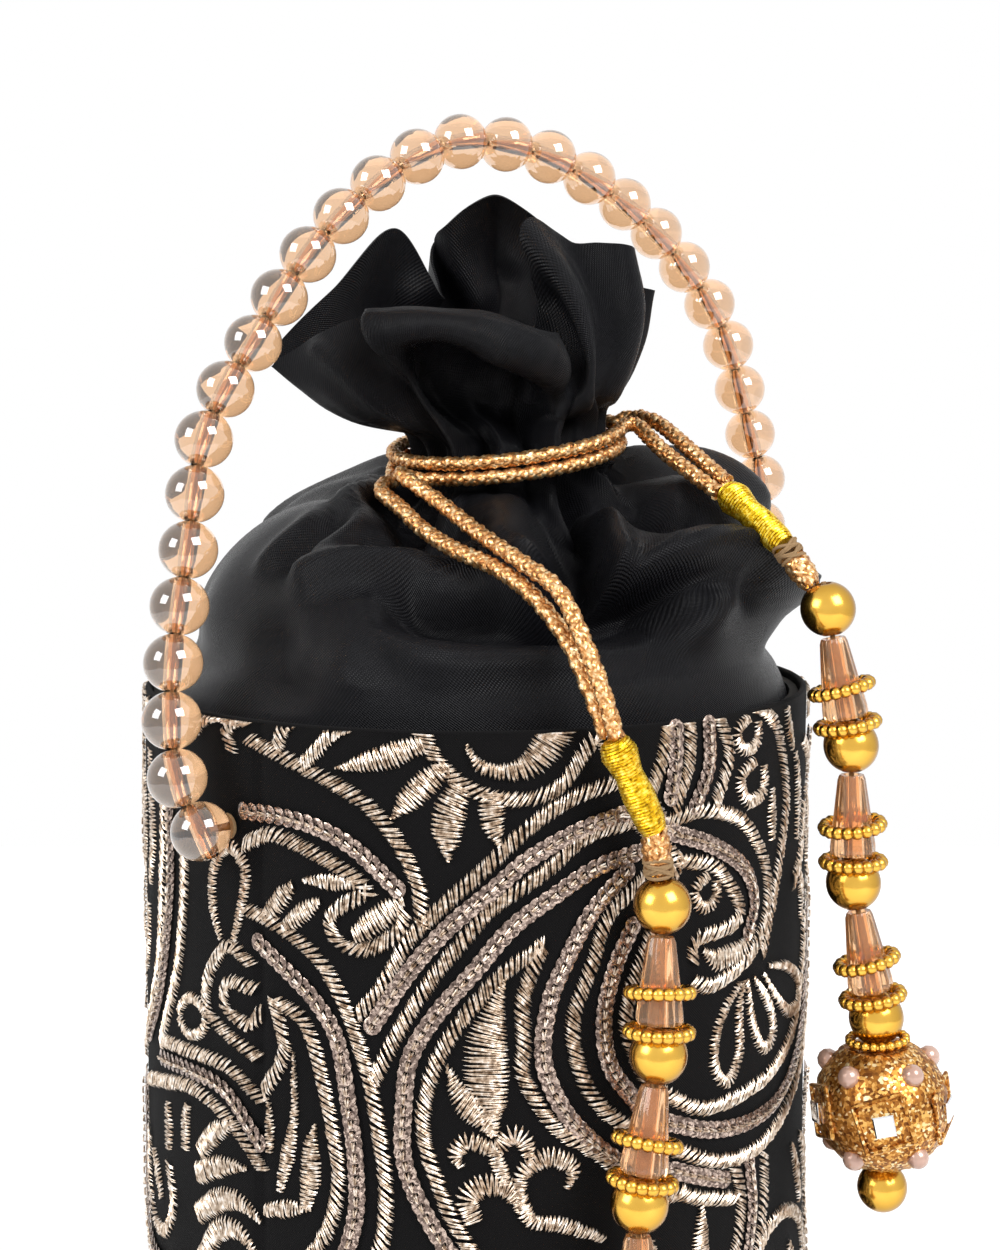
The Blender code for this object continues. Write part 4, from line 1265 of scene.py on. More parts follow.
RUFFLE = (
    (-75, (-1.56, -0.48, 0.11), (-2.05, -0.43, 0.24), (-2.36, -0.32, 0.34)),
    (-52, (-1.20, -0.86, 0.17), (-1.45, -0.81, 0.35), (-1.58, -0.65, 0.49)),
    (-32, (-0.78, -0.97, 0.20), (-1.03, -1.22, 0.40), (-1.15, -1.08, 0.53)),
    (0, (-0.24, -0.68, 0.25), (-0.24, -1.33, 0.42), (-0.24, -1.40, 0.54)),
    (26, (0.36, -0.76, 0.18), (0.42, -1.28, 0.35), (0.40, -1.34, 0.45)),
    (38, (0.65, -0.92, 0.18), (0.61, -0.82, 0.35), (0.36, -0.70, 0.49)),
    (52, (0.84, -0.90, 0.24), (0.71, -0.80, 0.53), (0.20, -0.38, 0.86)),
    (69, (0.95, -0.62, 0.24), (1.00, -0.54, 0.53), (0.70, -0.38, 0.82)),
    (85, (1.10, -0.31, 0.24), (1.25, -0.32, 0.53), (1.16, -0.32, 0.79)),
    (98, (1.00, 0.02, 0.23), (1.12, 0.06, 0.50), (1.18, 0.11, 0.67)),
    (112, (1.16, 0.38, 0.20), (1.43, 0.43, 0.42), (1.51, 0.38, 0.63)),
    (135, (0.73, 0.76, 0.20), (0.95, 0.76, 0.46), (1.00, 0.86, 0.69)),
    (155, (0.35, 0.97, 0.22), (0.46, 1.08, 0.58), (0.55, 1.08, 0.86)),
    (180, (-0.11, 1.03, 0.22), (-0.14, 1.00, 0.62), (-0.11, 0.70, 1.02)),
    (205, (-0.62, 0.97, 0.20), (-0.73, 0.97, 0.53), (-0.77, 0.82, 0.84)),
    (225, (-0.95, 0.70, 0.18), (-0.89, 0.43, 0.42), (-0.65, 0.22, 0.60)),
    (248, (-1.22, 0.38, 0.18), (-1.38, 0.16, 0.53), (-1.11, -0.05, 0.87)),
    (267, (-1.35, 0.08, 0.16), (-1.65, -0.03, 0.40), (-1.73, -0.11, 0.63)),
)


def ring_interpolate(keys, values, wanted):
    """Smooth closed interpolation of values given at azimuths that grow round the ring."""
    keys = np.array(keys, dtype=float)
    values = np.array(values, dtype=float)
    result = []
    for azimuth in wanted:
        inside = (azimuth - keys[0]) % 360.0 + keys[0]
        i = int(np.searchsorted(keys, inside, side="right")) - 1
        following = keys[(i + 1) % len(keys)] + (360.0 if i + 1 == len(keys) else 0.0)
        t = (inside - keys[i]) / (following - keys[i])
        result.append(curve_point([values[(i + shift) % len(keys)] for shift in (-1, 0, 1, 2)], t))
    return np.array(result)


def puff_share(azimuth):
    """Blends the four side outlines of the puff at one azimuth."""
    angle = math.radians(azimuth)
    pulls = (math.cos(angle), math.sin(angle), -math.cos(angle), -math.sin(angle))
    outlines = (PUFF_FRONT, PUFF_RIGHT, PUFF_BACK, PUFF_LEFT)
    return sum(max(0.0, pull) ** 2 * np.array(outline) for pull, outline in zip(pulls, outlines))


def satin_controls(azimuths):
    """Rows of points up the cloth at each azimuth: hem, puff, neck band and ruffle."""
    ruffle = ring_interpolate([row[0] for row in RUFFLE], [row[1:] for row in RUFFLE], azimuths)
    columns = []
    for azimuth, cloth in zip(azimuths, ruffle):
        out = direction(azimuth)
        neck = np.array([NECK_CENTRE_X, 0.0, 0.0]) + NECK_RADIUS * out
        neck_z = neck_height(neck[0], neck[1])
        column = [(*(HEM_RADIUS * out[:2]), DRUM_HEIGHT - drop) for drop in (HEM_DEPTH, HEM_TURN)]
        for spread, rise in puff_share(azimuth):
            radius = NECK_RADIUS + spread * (HEM_RADIUS - NECK_RADIUS)
            height = DRUM_HEIGHT + rise * (neck_z - NECK_BAND - DRUM_HEIGHT)
            column.append((NECK_CENTRE_X * (1 - spread) + radius * out[0], radius * out[1], height))
        column += [(neck[0], neck[1], neck_z - NECK_BAND), (neck[0], neck[1], neck_z + NECK_BAND)]
        for east, north, rise in cloth:
            x, y = NECK_CENTRE_X + east * NECK_RADIUS, north * NECK_RADIUS
            column.append((x, y, NECK_HEIGHT + rise * RUFFLE_HEIGHT))
        columns.append(column)
    return np.array(columns).transpose(1, 0, 2)


# %% [markdown]
# The grid is then read finely between those rows, and the folds move it along its
# normals. Pleats are folds of the whole cloth, deep at the neck and gone half way down
# the puff. Finer gathers lie between them, and a little random crumpling keeps the satin
# from looking moulded. Last, the drawstrings press the puff in where they lie on it.

# %% Folds, pleats, gathers and crumples
SATIN_COLUMNS = 360
ROW_STEPS = 8
FOLD_SAMPLES = 24
FOLD_AZIMUTHS = 28.0
FOLD_ROWS = 1.8
GATHERS = ((19, 0.55), (27, 0.45), (34, 0.35), (43, 0.22))
GATHER_CREST = 0.6
CRUMPLES = 16
PRESS_WIDTH = 4.6
PRESS_EDGE = 2.6
PRESS_REACH = 9.0
PRESS_GAP = 0.3


def surface_normals(grid):
    """Outward normals of a grid of rows that each close round the axis."""
    along = np.roll(grid, -1, axis=1) - np.roll(grid, 1, axis=1)
    up = np.gradient(grid, axis=0)
    normal = np.cross(along, up)
    return normal / np.linalg.norm(normal, axis=2, keepdims=True)


def on_grid(grid, marks):
    """Places on the grid at marks of azimuth and row."""
    rows, columns = grid.shape[:2]
    down = np.clip(marks[:, 1] * ROW_STEPS, 0.0, rows - 1.001)
    across = (marks[:, 0] + 180.0) / 360.0 * columns
    row, column = down.astype(int), np.floor(across).astype(int)
    t, s = (down - row)[:, None], (across - column)[:, None]
    near = grid[row, column % columns] * (1 - s) + grid[row, (column + 1) % columns] * s
    far = grid[row + 1, column % columns] * (1 - s) + grid[row + 1, (column + 1) % columns] * s
    return near * (1 - t) + far * t


def fold_shift(grid, azimuths, rows):
    """How far the folds move each point of the cloth along its normal."""
    shift = np.zeros(grid.shape[:2])
    for depth, width, path in FOLDS:
        marks = catmull_rom(path, FOLD_SAMPLES)
        (first_azimuth, first_row), (last_azimuth, last_row) = marks.min(axis=0), marks.max(axis=0)
        turn = np.abs((azimuths - (first_azimuth + last_azimuth) / 2 + 180.0) % 360.0 - 180.0)
        column = np.flatnonzero(turn < (last_azimuth - first_azimuth) / 2 + FOLD_AZIMUTHS)
        row = np.flatnonzero((rows > first_row - FOLD_ROWS) & (rows < last_row + FOLD_ROWS))
        window = grid[np.ix_(row, column)]
        reach = np.full(window.shape[:2], np.inf)
        for place in on_grid(grid, marks):
            reach = np.minimum(reach, np.linalg.norm(window - place, axis=2))
        shift[np.ix_(row, column)] += depth * np.exp(-(reach / width) ** 2)
    return shift


def gathers(azimuths, rows, neck_row):
    """Fine gathers beside the pleats: strong at the neck, fading down and up."""
    wander = random.Random(11)
    total = np.zeros((len(rows), len(azimuths)))
    angle = np.radians(azimuths)[None, :]
    distance = np.abs(rows - neck_row - 0.5)[:, None]
    for count, size in GATHERS:
        phase = wander.uniform(0.0, math.tau)
        lean = wander.uniform(-0.35, 0.35)
        fade = np.exp(-(distance / wander.uniform(1.4, 2.6)) ** 2)
        total += size * fade * np.cos(count * angle + phase + lean * distance)
    return total


def crumples(azimuths, rows):
    """Soft random dents over the whole cloth."""
    wander = random.Random(5)
    total = np.zeros((len(rows), len(azimuths)))
    angle = np.radians(azimuths)[None, :]
    level = rows[:, None]
    for _ in range(CRUMPLES):
        count = wander.randint(3, 16)
        rate = wander.uniform(-2.2, 2.2)
        phase = wander.uniform(0.0, math.tau)
        total += wander.uniform(0.08, 0.2) * np.sin(count * angle + rate * level + phase)
    return total


def pressed(grid, rows, neck_row):
    """Presses the puff in under the drawstrings, so that they lie on it."""
    normals = surface_normals(grid)
    press = np.zeros(grid.shape[:2])
    for place in np.concatenate([left_path[::4], right_path[::4]]):
        toward = place - grid
        height = np.einsum("rci,rci->rc", toward, normals)
        beside = np.linalg.norm(toward - height[:, :, None] * normals, axis=2)
        near = np.clip((PRESS_WIDTH - beside) / PRESS_EDGE, 0.0, 1.0) * (np.abs(height) < PRESS_REACH)
        press = np.maximum(press, (CORD_DIAMETER / 2 + PRESS_GAP - height) * near)
    untied = np.clip((neck_row - 0.2 - rows) / 0.4, 0.0, 1.0)
    return grid - normals * (press * untied[:, None])[:, :, None]


def satin_grid(azimuths):
    """The smooth cloth between the control rows, before it is folded."""
    controls = satin_controls(azimuths)
    before, after = 2 * controls[:1] - controls[1:2], 2 * controls[-1:] - controls[-2:-1]
    ends = np.concatenate([before, controls, after])
    rows = np.arange((len(controls) - 1) * ROW_STEPS + 1) / ROW_STEPS
    starts = [min(int(row), len(controls) - 2) for row in rows]
    grid = [curve_point(ends[start:start + 4], row - start) for start, row in zip(starts, rows)]
    return np.array(grid), rows, len(controls) - 5


def pleats(azimuths, rows, neck_row):
    """Folds of the whole cloth, deep at the neck and fading down the puff and up the ruffle."""
    below = 1.0 - np.maximum(0.0, neck_row - rows) / PLEAT_ROWS_BELOW
    above = 1.0 - np.maximum(0.0, rows - neck_row - 1.0) / PLEAT_ROWS_ABOVE
    weight = np.maximum(0.0, np.minimum(below, above)) ** 1.5
    wave = 0.5 * (np.cos(np.radians(azimuths * PLEATS)) - 1.0)
    return PLEAT_DEPTH * weight[:, None] * wave[None, :]


def satin_surface():
    azimuths = np.array([360.0 * i / SATIN_COLUMNS - 180.0 for i in range(SATIN_COLUMNS)])
    grid, rows, neck_row = satin_grid(azimuths)
    tied = np.exp(-((rows - neck_row - 0.5) / TIED_ROWS) ** 2)
    folded = np.clip(rows - 1.5, 0.0, 1.0) * (1.0 - tied)
    folds = fold_shift(grid, azimuths, rows) * folded[:, None]
    grid = grid + surface_normals(grid) * folds[:, :, None]
    free = np.clip((rows - 1.2) / 1.5, 0.0, 1.0)[:, None]
    fine = np.minimum(gathers(azimuths, rows, neck_row) - GATHER_CREST, 0.0)
    drawn = pleats(azimuths, rows, neck_row) + fine * free
    loose = crumples(azimuths, rows) * free
    outward = np.array([direction(azimuth) for azimuth in azimuths])
    grid = grid + outward[None] * drawn[:, :, None] + surface_normals(grid) * loose[:, :, None]
    return pressed(grid, rows, neck_row)


def sheet_faces(grid, marks, radius, thickness):
    """Faces and UV map of a sheet's two sides, with millimetres round and up the cloth."""
    rows, columns = grid.shape[:2]
    width = math.tau * radius / columns
    edges = [(column * width, (column + 1) * width) for column in range(columns)]
    return ring_faces(rows, columns, closed=True), ring_uv(edges, [*marks, marks[-1] + thickness])


def satin_piece():
    outer = satin_surface()
    inner = outer - SATIN_THICKNESS * surface_normals(outer)
    shell = np.concatenate([outer, inner[::-1]])
    steps = np.linalg.norm(np.diff(shell, axis=0), axis=2).mean(axis=1)
    marks = np.concatenate([[0.0], np.cumsum(steps)])
    faces, uv = sheet_faces(shell, marks, HEM_RADIUS, SATIN_THICKNESS)
    piece = add_piece("gathered_satin", shell.reshape(-1, 3), faces, SATIN, "black_satin", uv=uv)
    piece.data.set_sharp_from_angle(angle=math.radians(SATIN_SHARP_ANGLE))
    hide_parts("satin_puff", "satin_ruffle")
    print("satin faces:", len(faces), "up the cloth:", round(marks[len(outer) - 1], 1), "mm")


satin_piece()

# %% [markdown]
# ## Drum cloth
# The sleeve is one panel of black cloth wrapped round the card and closed by a seam at
# the front left. Its top edge is turned over the card in a soft roll.

# %% Sleeve with a rolled rim and its seam
SEAM_AZIMUTH = -35.5
SEAM_DEPTH = 0.55
SEAM_WIDTH = 0.8
SLEEVE_THICKNESS = 1.2
SLEEVE_COLUMNS = 256
ROLL_STEPS = 8
PUCKERS = 14
PUCKER_SHARE = 0.6
SLEEVE_EASE = 0.12


def on_drum(along, height, lift):
    """Places on the drum from millimetres along the panel, height and distance off the cloth."""
    angle = math.radians(SEAM_AZIMUTH) + along / DRUM_RADIUS
    radius = DRUM_RADIUS + lift
    return np.stack([radius * np.sin(angle), -radius * np.cos(angle), height], axis=-1)


def sleeve_profile():
    """Places from the foot up the outside, over the rolled rim and down the inside."""
    roll = SLEEVE_THICKNESS / 2
    outside = [(0.0, z) for z in (0.0, 0.5, *np.linspace(2.0, DRUM_HEIGHT - roll, 70))]
    rim = []
    for step in range(1, ROLL_STEPS):
        angle = math.pi * step / ROLL_STEPS
        rim.append((roll * (math.cos(angle) - 1.0), DRUM_HEIGHT - roll + roll * math.sin(angle)))
    inside = [(-SLEEVE_THICKNESS, DRUM_HEIGHT - roll), (-SLEEVE_THICKNESS, 0.0)]
    return outside + rim + inside, len(outside)


def sleeve():
    profile, outside = sleeve_profile()
    length = math.tau * DRUM_RADIUS
    along = np.arange(SLEEVE_COLUMNS) * length / SLEEVE_COLUMNS
    groove = np.exp(-(along / SEAM_WIDTH) ** 2) + np.exp(-((along - length) / SEAM_WIDTH) ** 2)
    wander = random.Random(3)
    waves = []
    for _ in range(PUCKERS):
        count, rate = wander.randint(5, 40), wander.uniform(-0.2, 0.2)
        waves.append((count, rate, wander.uniform(0, math.tau), wander.uniform(0.02, 0.05)))
    grid, marks = [], [0.0]
    for i, (lift, z) in enumerate(profile):
        pucker = np.zeros_like(along)
        for count, rate, phase, size in waves:
            pucker += size * np.sin(count * along / DRUM_RADIUS + rate * z + phase)
        fade = 1.0 if 2 <= i < outside else 0.0
        shape = lift + fade * (PUCKER_SHARE * pucker - SLEEVE_EASE - SEAM_DEPTH * groove)
        grid.append(on_drum(along, np.full_like(along, z), shape))
        if i:
            marks.append(marks[-1] + math.dist(profile[i], profile[i - 1]))
    grid = np.array(grid)
    faces, uv = sheet_faces(grid, marks, DRUM_RADIUS, SLEEVE_THICKNESS)
    piece = add_piece("cloth_sleeve", grid.reshape(-1, 3), faces, GROUND, "embroidered_cloth", uv=uv)
    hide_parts("drum_sleeve")
    print("sleeve faces:", len(faces))


sleeve()

# %% [markdown]
# ## Stitches
# Machine embroidery is short metal threads lying side by side. Each stitch here is a
# slim spindle that starts in the cloth, rises a little and goes back in. A row lays
# them slanted along a curve, a filling lays them across a leaf.

# %% A stitch, a row and a filling
THREAD_WIDTH = 0.3
THREAD_LIFT = 0.42
THREAD_SINK = 0.1
RIM_GAP = 0.5
CLUSTER = ((0.0, 0.05), (0.27, 0.16), (0.53, -0.1))
STITCH_FACES = np.array([
    (0, 2, 1), (0, 3, 2), (0, 4, 3), (0, 1, 4),
    (1, 2, 6), (1, 6, 5), (2, 3, 7), (2, 7, 6), (3, 4, 8), (3, 8, 7), (4, 1, 5), (4, 5, 8),
    (5, 6, 9), (6, 7, 9), (7, 8, 9), (8, 5, 9),
])
hand = random.Random(21)


def smooth_line(points, spacing):
    """Evenly spaced places along a smooth curve on the panel, with its directions."""
    curve = catmull_rom(points, 10) if len(points) > 2 else np.array(points, dtype=float)
    count = max(2, round(curve_length(curve) / spacing))
    places = even_points(curve, count)
    tangents = np.gradient(places, axis=0)
    tangents /= np.linalg.norm(tangents, axis=1, keepdims=True)
    return places, tangents, np.stack([-tangents[:, 1], tangents[:, 0]], axis=1)


def shaken(count, size):
    return np.array([[hand.uniform(-size, size), hand.uniform(-size, size)] for _ in range(count)])


def satin_row(points, width=2.7, slant=2.0, pitch=1.14):
    """Slanted clusters of three threads, as along every outline of the design."""
    places, tangents, normals = smooth_line(points, pitch)
    stitches = []
    for shift, skew in CLUSTER:
        middles = places + tangents * shift
        low = middles - normals * (width / 2) - tangents * (slant / 2 - skew)
        high = middles + normals * (width / 2) + tangents * (slant / 2 + skew)
        stitches.append((low + shaken(len(low), 0.2), high + shaken(len(high), 0.2)))
    return stitches


def filling(points, widths, slant=0.0, pitch=0.66):
    """Zigzag strands across a line whose width follows a list along it."""
    places, tangents, normals = smooth_line(points, pitch)
    shares = np.linspace(0.0, 1.0, len(places))
    width = np.interp(shares, np.linspace(0.0, 1.0, len(widths)), widths)[:, None]
    low = places - normals * width / 2 - tangents * slant / 2 + shaken(len(places), 0.18)
    high = places + normals * width / 2 + tangents * slant / 2 + shaken(len(places), 0.12)
    return [(low, high), (high[:-1] + tangents[:-1] * 0.1, low[1:])]


def stitch_mesh(stitches, lift):
    """All stitches of a kind as one pair of arrays, wrapped round the drum."""
    low = np.concatenate([pair[0] for pair in stitches])
    high = np.concatenate([pair[1] for pair in stitches])
    for ends in (low, high):
        ends[:, 1] = np.minimum(ends[:, 1], DRUM_HEIGHT - RIM_GAP)
    run = high - low
    length = np.maximum(np.linalg.norm(run, axis=1, keepdims=True), 0.05)
    half = THREAD_WIDTH / 2
    side = np.stack([-run[:, 1], run[:, 0]], axis=1) / length * half
    lifts = lift + np.array([hand.uniform(-0.1, 0.12) for _ in low])
    nodes = [(low, 0.0, -THREAD_SINK)]
    for share in (0.2, 0.8):
        for turn, rise in ((1, 0.0), (0, half), (-1, 0.0), (0, -half)):
            nodes.append((low + run * share + side * turn, 1.0, rise))
    nodes.append((high, 0.0, -THREAD_SINK))
    rings = [on_drum(spot[:, 0], spot[:, 1], share * lifts + rise) for spot, share, rise in nodes]
    points = np.stack(rings, axis=1).reshape(-1, 3)
    faces = (np.arange(len(low))[:, None, None] * len(nodes) + STITCH_FACES[None]).reshape(-1, 3)
    return points, faces


# %% [markdown]
# ## The design
# The panel's pattern repeats twice round the drum. It is traditional work: paisleys
# drawn by parallel outlines, with lines of sequins between them, leaves, petals and
# curls. Points are millimetres from the seam and above the base.

# %% Outlines worked in satin rows
OUTLINES = (
    ((-2, 135), (8, 132), (18, 128), (24, 123), (28, 116), (29, 110)),
    ((-3, 119), (3, 121), (11, 119), (18, 116), (20, 114)),
    ((20, 114), (14, 110), (15, 106), (20, 105), (25, 108), (26, 111)),
    ((4, 134), (5, 137), (7, 139)),
    ((9, 132), (12, 135), (14, 137), (17, 139)),
    ((29, 138), (32, 133), (38, 129), (45, 128), (51, 130), (55, 135), (57, 137), (59, 134)),
    ((61, 130), (53, 128), (46, 124), (39, 118), (33, 113), (27, 107), (23, 100), (19, 95)),
    ((63, 124), (55, 122), (48, 117), (40, 112), (33, 104), (28, 97), (24, 90), (21, 84)),
    ((48, 106), (41, 101), (35, 94), (31, 87), (29, 78), (31, 69), (35, 60), (41, 52), (49, 47)),
    ((48, 106), (45, 98), (45, 90), (45, 85), (50, 77), (57, 72), (64, 66)),
    ((65, 115), (59, 110), (56, 102), (53, 94), (54, 86), (58, 79), (65, 74)),
    ((66, 105), (63, 98), (62, 92), (64, 86)),
    ((-3, 109), (4, 107), (11, 103), (16, 96), (20, 85), (22, 75), (23, 66), (22, 57), (18, 48), (11, 42)),
    ((3, 95), (9, 92), (12, 84), (14, 75), (15, 67), (13, 59), (8, 52), (1, 48)),
    ((3, 95), (5, 88), (4, 84), (1, 80)),
    ((70, 139), (69, 134), (67, 129)),
    ((74, 139), (74, 132), (71, 125)),
    ((80, 139), (83, 133), (82, 129), (80, 125)),
    ((69, 123), (77, 124), (87, 121), (94, 113), (94, 105), (89, 99), (80, 96), (75, 97)),
    ((72, 117), (80, 115), (86, 108), (84, 105), (76, 104), (75, 101)),
    ((91, 139), (98, 134), (102, 124), (101, 118), (97, 108), (93, 99)),
    ((69, 80), (77, 76), (87, 76), (98, 78), (107, 83), (113, 91), (115, 100)),
    ((72, 70), (82, 66), (93, 66), (104, 70), (114, 77), (121, 88), (122, 100)),
    ((72, 63), (77, 61), (85, 59)),
    ((85, 65), (87, 58), (85, 49), (80, 41)),
    ((94, 64), (94, 56), (91, 46), (86, 38)),
    ((92, 48), (97, 51), (104, 51), (112, 47), (117, 40)),
    ((159, 125), (158, 111), (156, 96), (152, 88), (146, 80), (138, 74)),
    ((167, 118), (167, 108), (164, 94), (157, 81)),
    ((185, 100), (180, 102), (175, 97), (174, 91), (178, 88), (186, 85)),
    ((186, 96), (180, 96), (179, 92), (184, 90), (187, 92)),
    ((157, 81), (168, 82), (179, 82), (187, 78)),
    ((146, 71), (158, 74), (170, 76), (180, 73), (187, 67)),
    ((171, 135), (176, 138), (184, 138)),
    ((181, 133), (180, 136), (184, 139)),
    ((61, 130), (65, 128), (69, 123)),
    ((63, 124), (67.5, 121), (72, 117)),
    ((66, 105), (69, 112), (72, 117)),
    ((64, 86), (66, 82), (69, 80)),
    ((65, 74), (68, 72), (72, 70)),
    ((64, 66), (68, 63), (72, 63)),
    ((119, 134), (124, 137), (130, 138)),
    ((106, 108), (111, 112), (113, 119)),
)
SEQUIN_LINES = (
    ((61, 126), (66, 125), (71, 122)),
    ((64, 79), (67, 77), (70, 75)),
    ((62, 69), (66, 68), (71, 67)),
    ((-3, 125), (4, 125), (11, 124), (18, 121), (25, 115)),
    ((61, 126), (54, 124), (46, 120), (40, 115), (33, 109), (27, 102), (21, 93)),
    ((65, 120), (57, 118), (50, 114), (43, 109), (37, 102), (31, 95), (27, 88), (26, 80), (26, 72),
     (29, 64), (35, 55), (43, 49)),
    ((62, 117), (56, 111), (52, 104), (49, 97), (48, 88), (51, 80), (56, 74), (62, 69)),
    ((63, 108), (60, 102), (58, 94), (59, 86), (64, 79)),
    ((0, 104), (6, 100), (11, 96), (15, 90), (17, 79), (18, 71), (18, 62), (15, 53), (9, 46), (1, 43)),
    ((71, 139), (71, 134), (70, 128)),
    ((78, 139), (78, 132), (75, 126)),
    ((71, 122), (79, 119), (87, 114), (90, 108), (88, 103)),
    ((70, 75), (79, 72), (90, 71), (101, 73), (111, 80), (117, 90), (118, 101)),
    ((71, 67), (76, 65), (82, 63)),
    ((89, 64), (90, 56), (88, 47), (83, 40)),
    ((162, 125), (162, 108), (157, 90), (149, 80)),
    ((157, 78), (169, 79), (179, 78), (187, 71)),
)
print("outlines:", len(OUTLINES), "sequin lines:", len(SEQUIN_LINES))


# %% [markdown]
# Leaves, petals, curls and combs are all fillings: a line down the middle, and the
# width of the stitches across it from its start to its end.

# %% Leaves, petals, curls and combs
FILLINGS = (
    (((18, 107), (22, 110), (26, 113)), (3.2, 4.6, 4.4, 2.4), 0.8),
    (((9, 115), (13, 115), (18, 115)), (0.8, 2.6, 3.0, 2.0), 0.0),
    (((1, 108), (4, 111), (7, 114)), (2.0, 3.4, 3.6, 1.8), 0.6),
    (((5, 107), (9, 110), (12, 112)), (2.0, 3.4, 3.4, 1.6), 0.6),
    (((15, 132), (23, 134), (29, 136)), (0.6, 3.4, 4.4, 3.4), 0.0),
    (((24, 125), (28, 129), (33, 133)), (0.6, 4.4, 4.8, 3.2), 0.0),
    (((33, 119), (33, 125), (35, 130)), (0.8, 5.2, 5.8, 3.6), 0.5),
    (((41, 121), (40, 125), (40, 129)), (0.6, 3.6, 4.6, 4.0), 0.0),
    (((36, 136), (38, 133), (42, 132), (46, 133), (49, 136), (51, 139)),
     (0.8, 2.4, 3.0, 4.6, 6.0, 5.4), 0.0),
    (((42, 101), (40, 95), (39, 90), (39, 85), (39, 80), (40, 76)), (0.5, 4.0, 7.0, 7.6, 7.0, 2.0), 0.6),
    (((33, 87), (34, 84), (35, 82), (38, 79), (40, 76)), (0.5, 3.0, 5.0, 4.4, 1.0), -0.6),
    (((35, 71), (34, 73), (36, 75), (39, 74)), (1.4, 3.0, 3.2, 2.8), 0.0),
    (((39, 74), (41, 74), (43, 76), (45, 75), (46, 71)), (2.4, 3.4, 3.4, 3.0, 1.0), 0.0),
    (((40, 74), (41, 71), (42, 68)), (2.6, 3.0, 2.4), 0.5),
    (((37, 62), (36, 66), (39, 68), (43, 67), (46, 62)), (3.4, 4.2, 4.0, 3.6, 2.4), 0.0),
    (((44, 66), (45, 70), (49, 72), (53, 70), (52, 67)), (2.4, 3.2, 3.6, 3.2, 1.2), 0.0),
    (((44, 66), (46, 62), (51, 61), (58, 58)), (2.4, 2.8, 2.8, 1.6), 0.8),
    (((7, 87), (7, 81), (7, 77), (6, 72), (4, 64)), (0.4, 1.2, 1.8, 3.2, 1.6), 0.0),
    (((11, 76), (10, 72), (10, 68), (9, 62)), (0.6, 3.6, 4.4, 2.2), 0.0),
    (((1, 60), (5, 61), (10, 62)), (2.4, 3.4, 1.0), 0.4),
    (((2, 78), (2, 74), (2, 70)), (0.8, 2.0, 1.4), 0.0),
    (((96, 125), (96, 121), (96, 117)), (1.4, 3.2, 2.0), 0.0),
    (((107, 129), (109, 122), (108, 115)), (1.4, 3.4, 1.6), 0.0),
    (((102, 137), (103, 134), (105, 130)), (1.6, 3.2, 1.2), 0.0),
    (((77, 102), (80, 100), (84, 100), (88, 101), (90, 104)), (1.4, 4.2, 4.4, 3.2, 1.0), 0.0),
    (((77, 60), (77, 56), (77, 51)), (0.8, 3.6, 4.2), 0.0),
    (((86, 95), (82, 91), (80, 87), (80, 82), (83, 79), (86, 83), (86, 90), (87, 95)),
     (1.0, 2.0, 2.2, 2.4, 2.4, 2.2, 2.0, 1.0), 0.0),
    (((88, 95), (89, 90), (91, 85), (94, 82), (97, 84), (96, 88), (93, 92), (90, 95)),
     (1.0, 2.0, 2.2, 2.4, 2.4, 2.2, 2.0, 1.0), 0.0),
    (((93, 95), (98, 90), (104, 86), (110, 86), (110, 90), (103, 94), (95, 96)),
     (1.0, 2.0, 2.4, 2.6, 2.4, 2.0, 1.0), 0.0),
    (((178, 103), (176, 108), (176, 113), (178, 117), (181, 118), (184, 115), (183, 109), (181, 103)),
     (1.0, 2.0, 2.2, 2.6, 2.6, 2.2, 2.0, 1.2), 0.0),
    (((165, 88), (168, 91), (172, 91), (174, 89), (172, 86), (168, 85), (165, 87)),
     (2.0, 2.2, 2.2, 2.2, 2.2, 2.0, 1.6), 0.0),
    (((160, 71), (160, 67), (160, 63)), (1.6, 3.4, 2.4), 0.0),
    (((168, 73), (167, 70), (167, 65)), (1.6, 3.0, 2.4), 0.0),
    (((172, 66), (176, 70), (181, 73)), (4.0, 4.2, 1.6), 0.0),
    (((171, 62), (178, 65), (184, 66)), (4.2, 4.0, 1.2), 0.0),
    (((171, 55), (177, 59), (182, 60), (187, 58)), (4.0, 4.6, 3.8, 1.0), 0.0),
    (((172, 48), (177, 54), (182, 55), (186, 52)), (3.6, 4.4, 3.8, 1.0), 0.0),
    (((88, 137), (85, 135), (87, 132), (91, 133), (91, 136)), (2.2, 2.6, 2.6, 2.4, 2.0), 0.0),
    (((90, 130), (86, 128), (88, 124), (93, 125), (93, 129)), (2.4, 2.8, 2.8, 2.6, 2.0), 0.0),
    (((78, 114), (75, 112), (77, 109), (80, 110), (80, 113)), (2.2, 2.4, 2.4, 2.2, 2.0), 0.0),
    (((150, 129), (151, 122), (152, 115), (150, 107)), (1.6, 3.4, 3.4, 1.6), 0.6),
    (((148, 103), (147, 97), (145, 91)), (1.4, 3.0, 1.6), 0.4),
)
print("fillings:", len(FILLINGS))


# %% [markdown]
# The panel carries on to the base with the same motifs, a wavy row and a line of
# sequins all the way round.

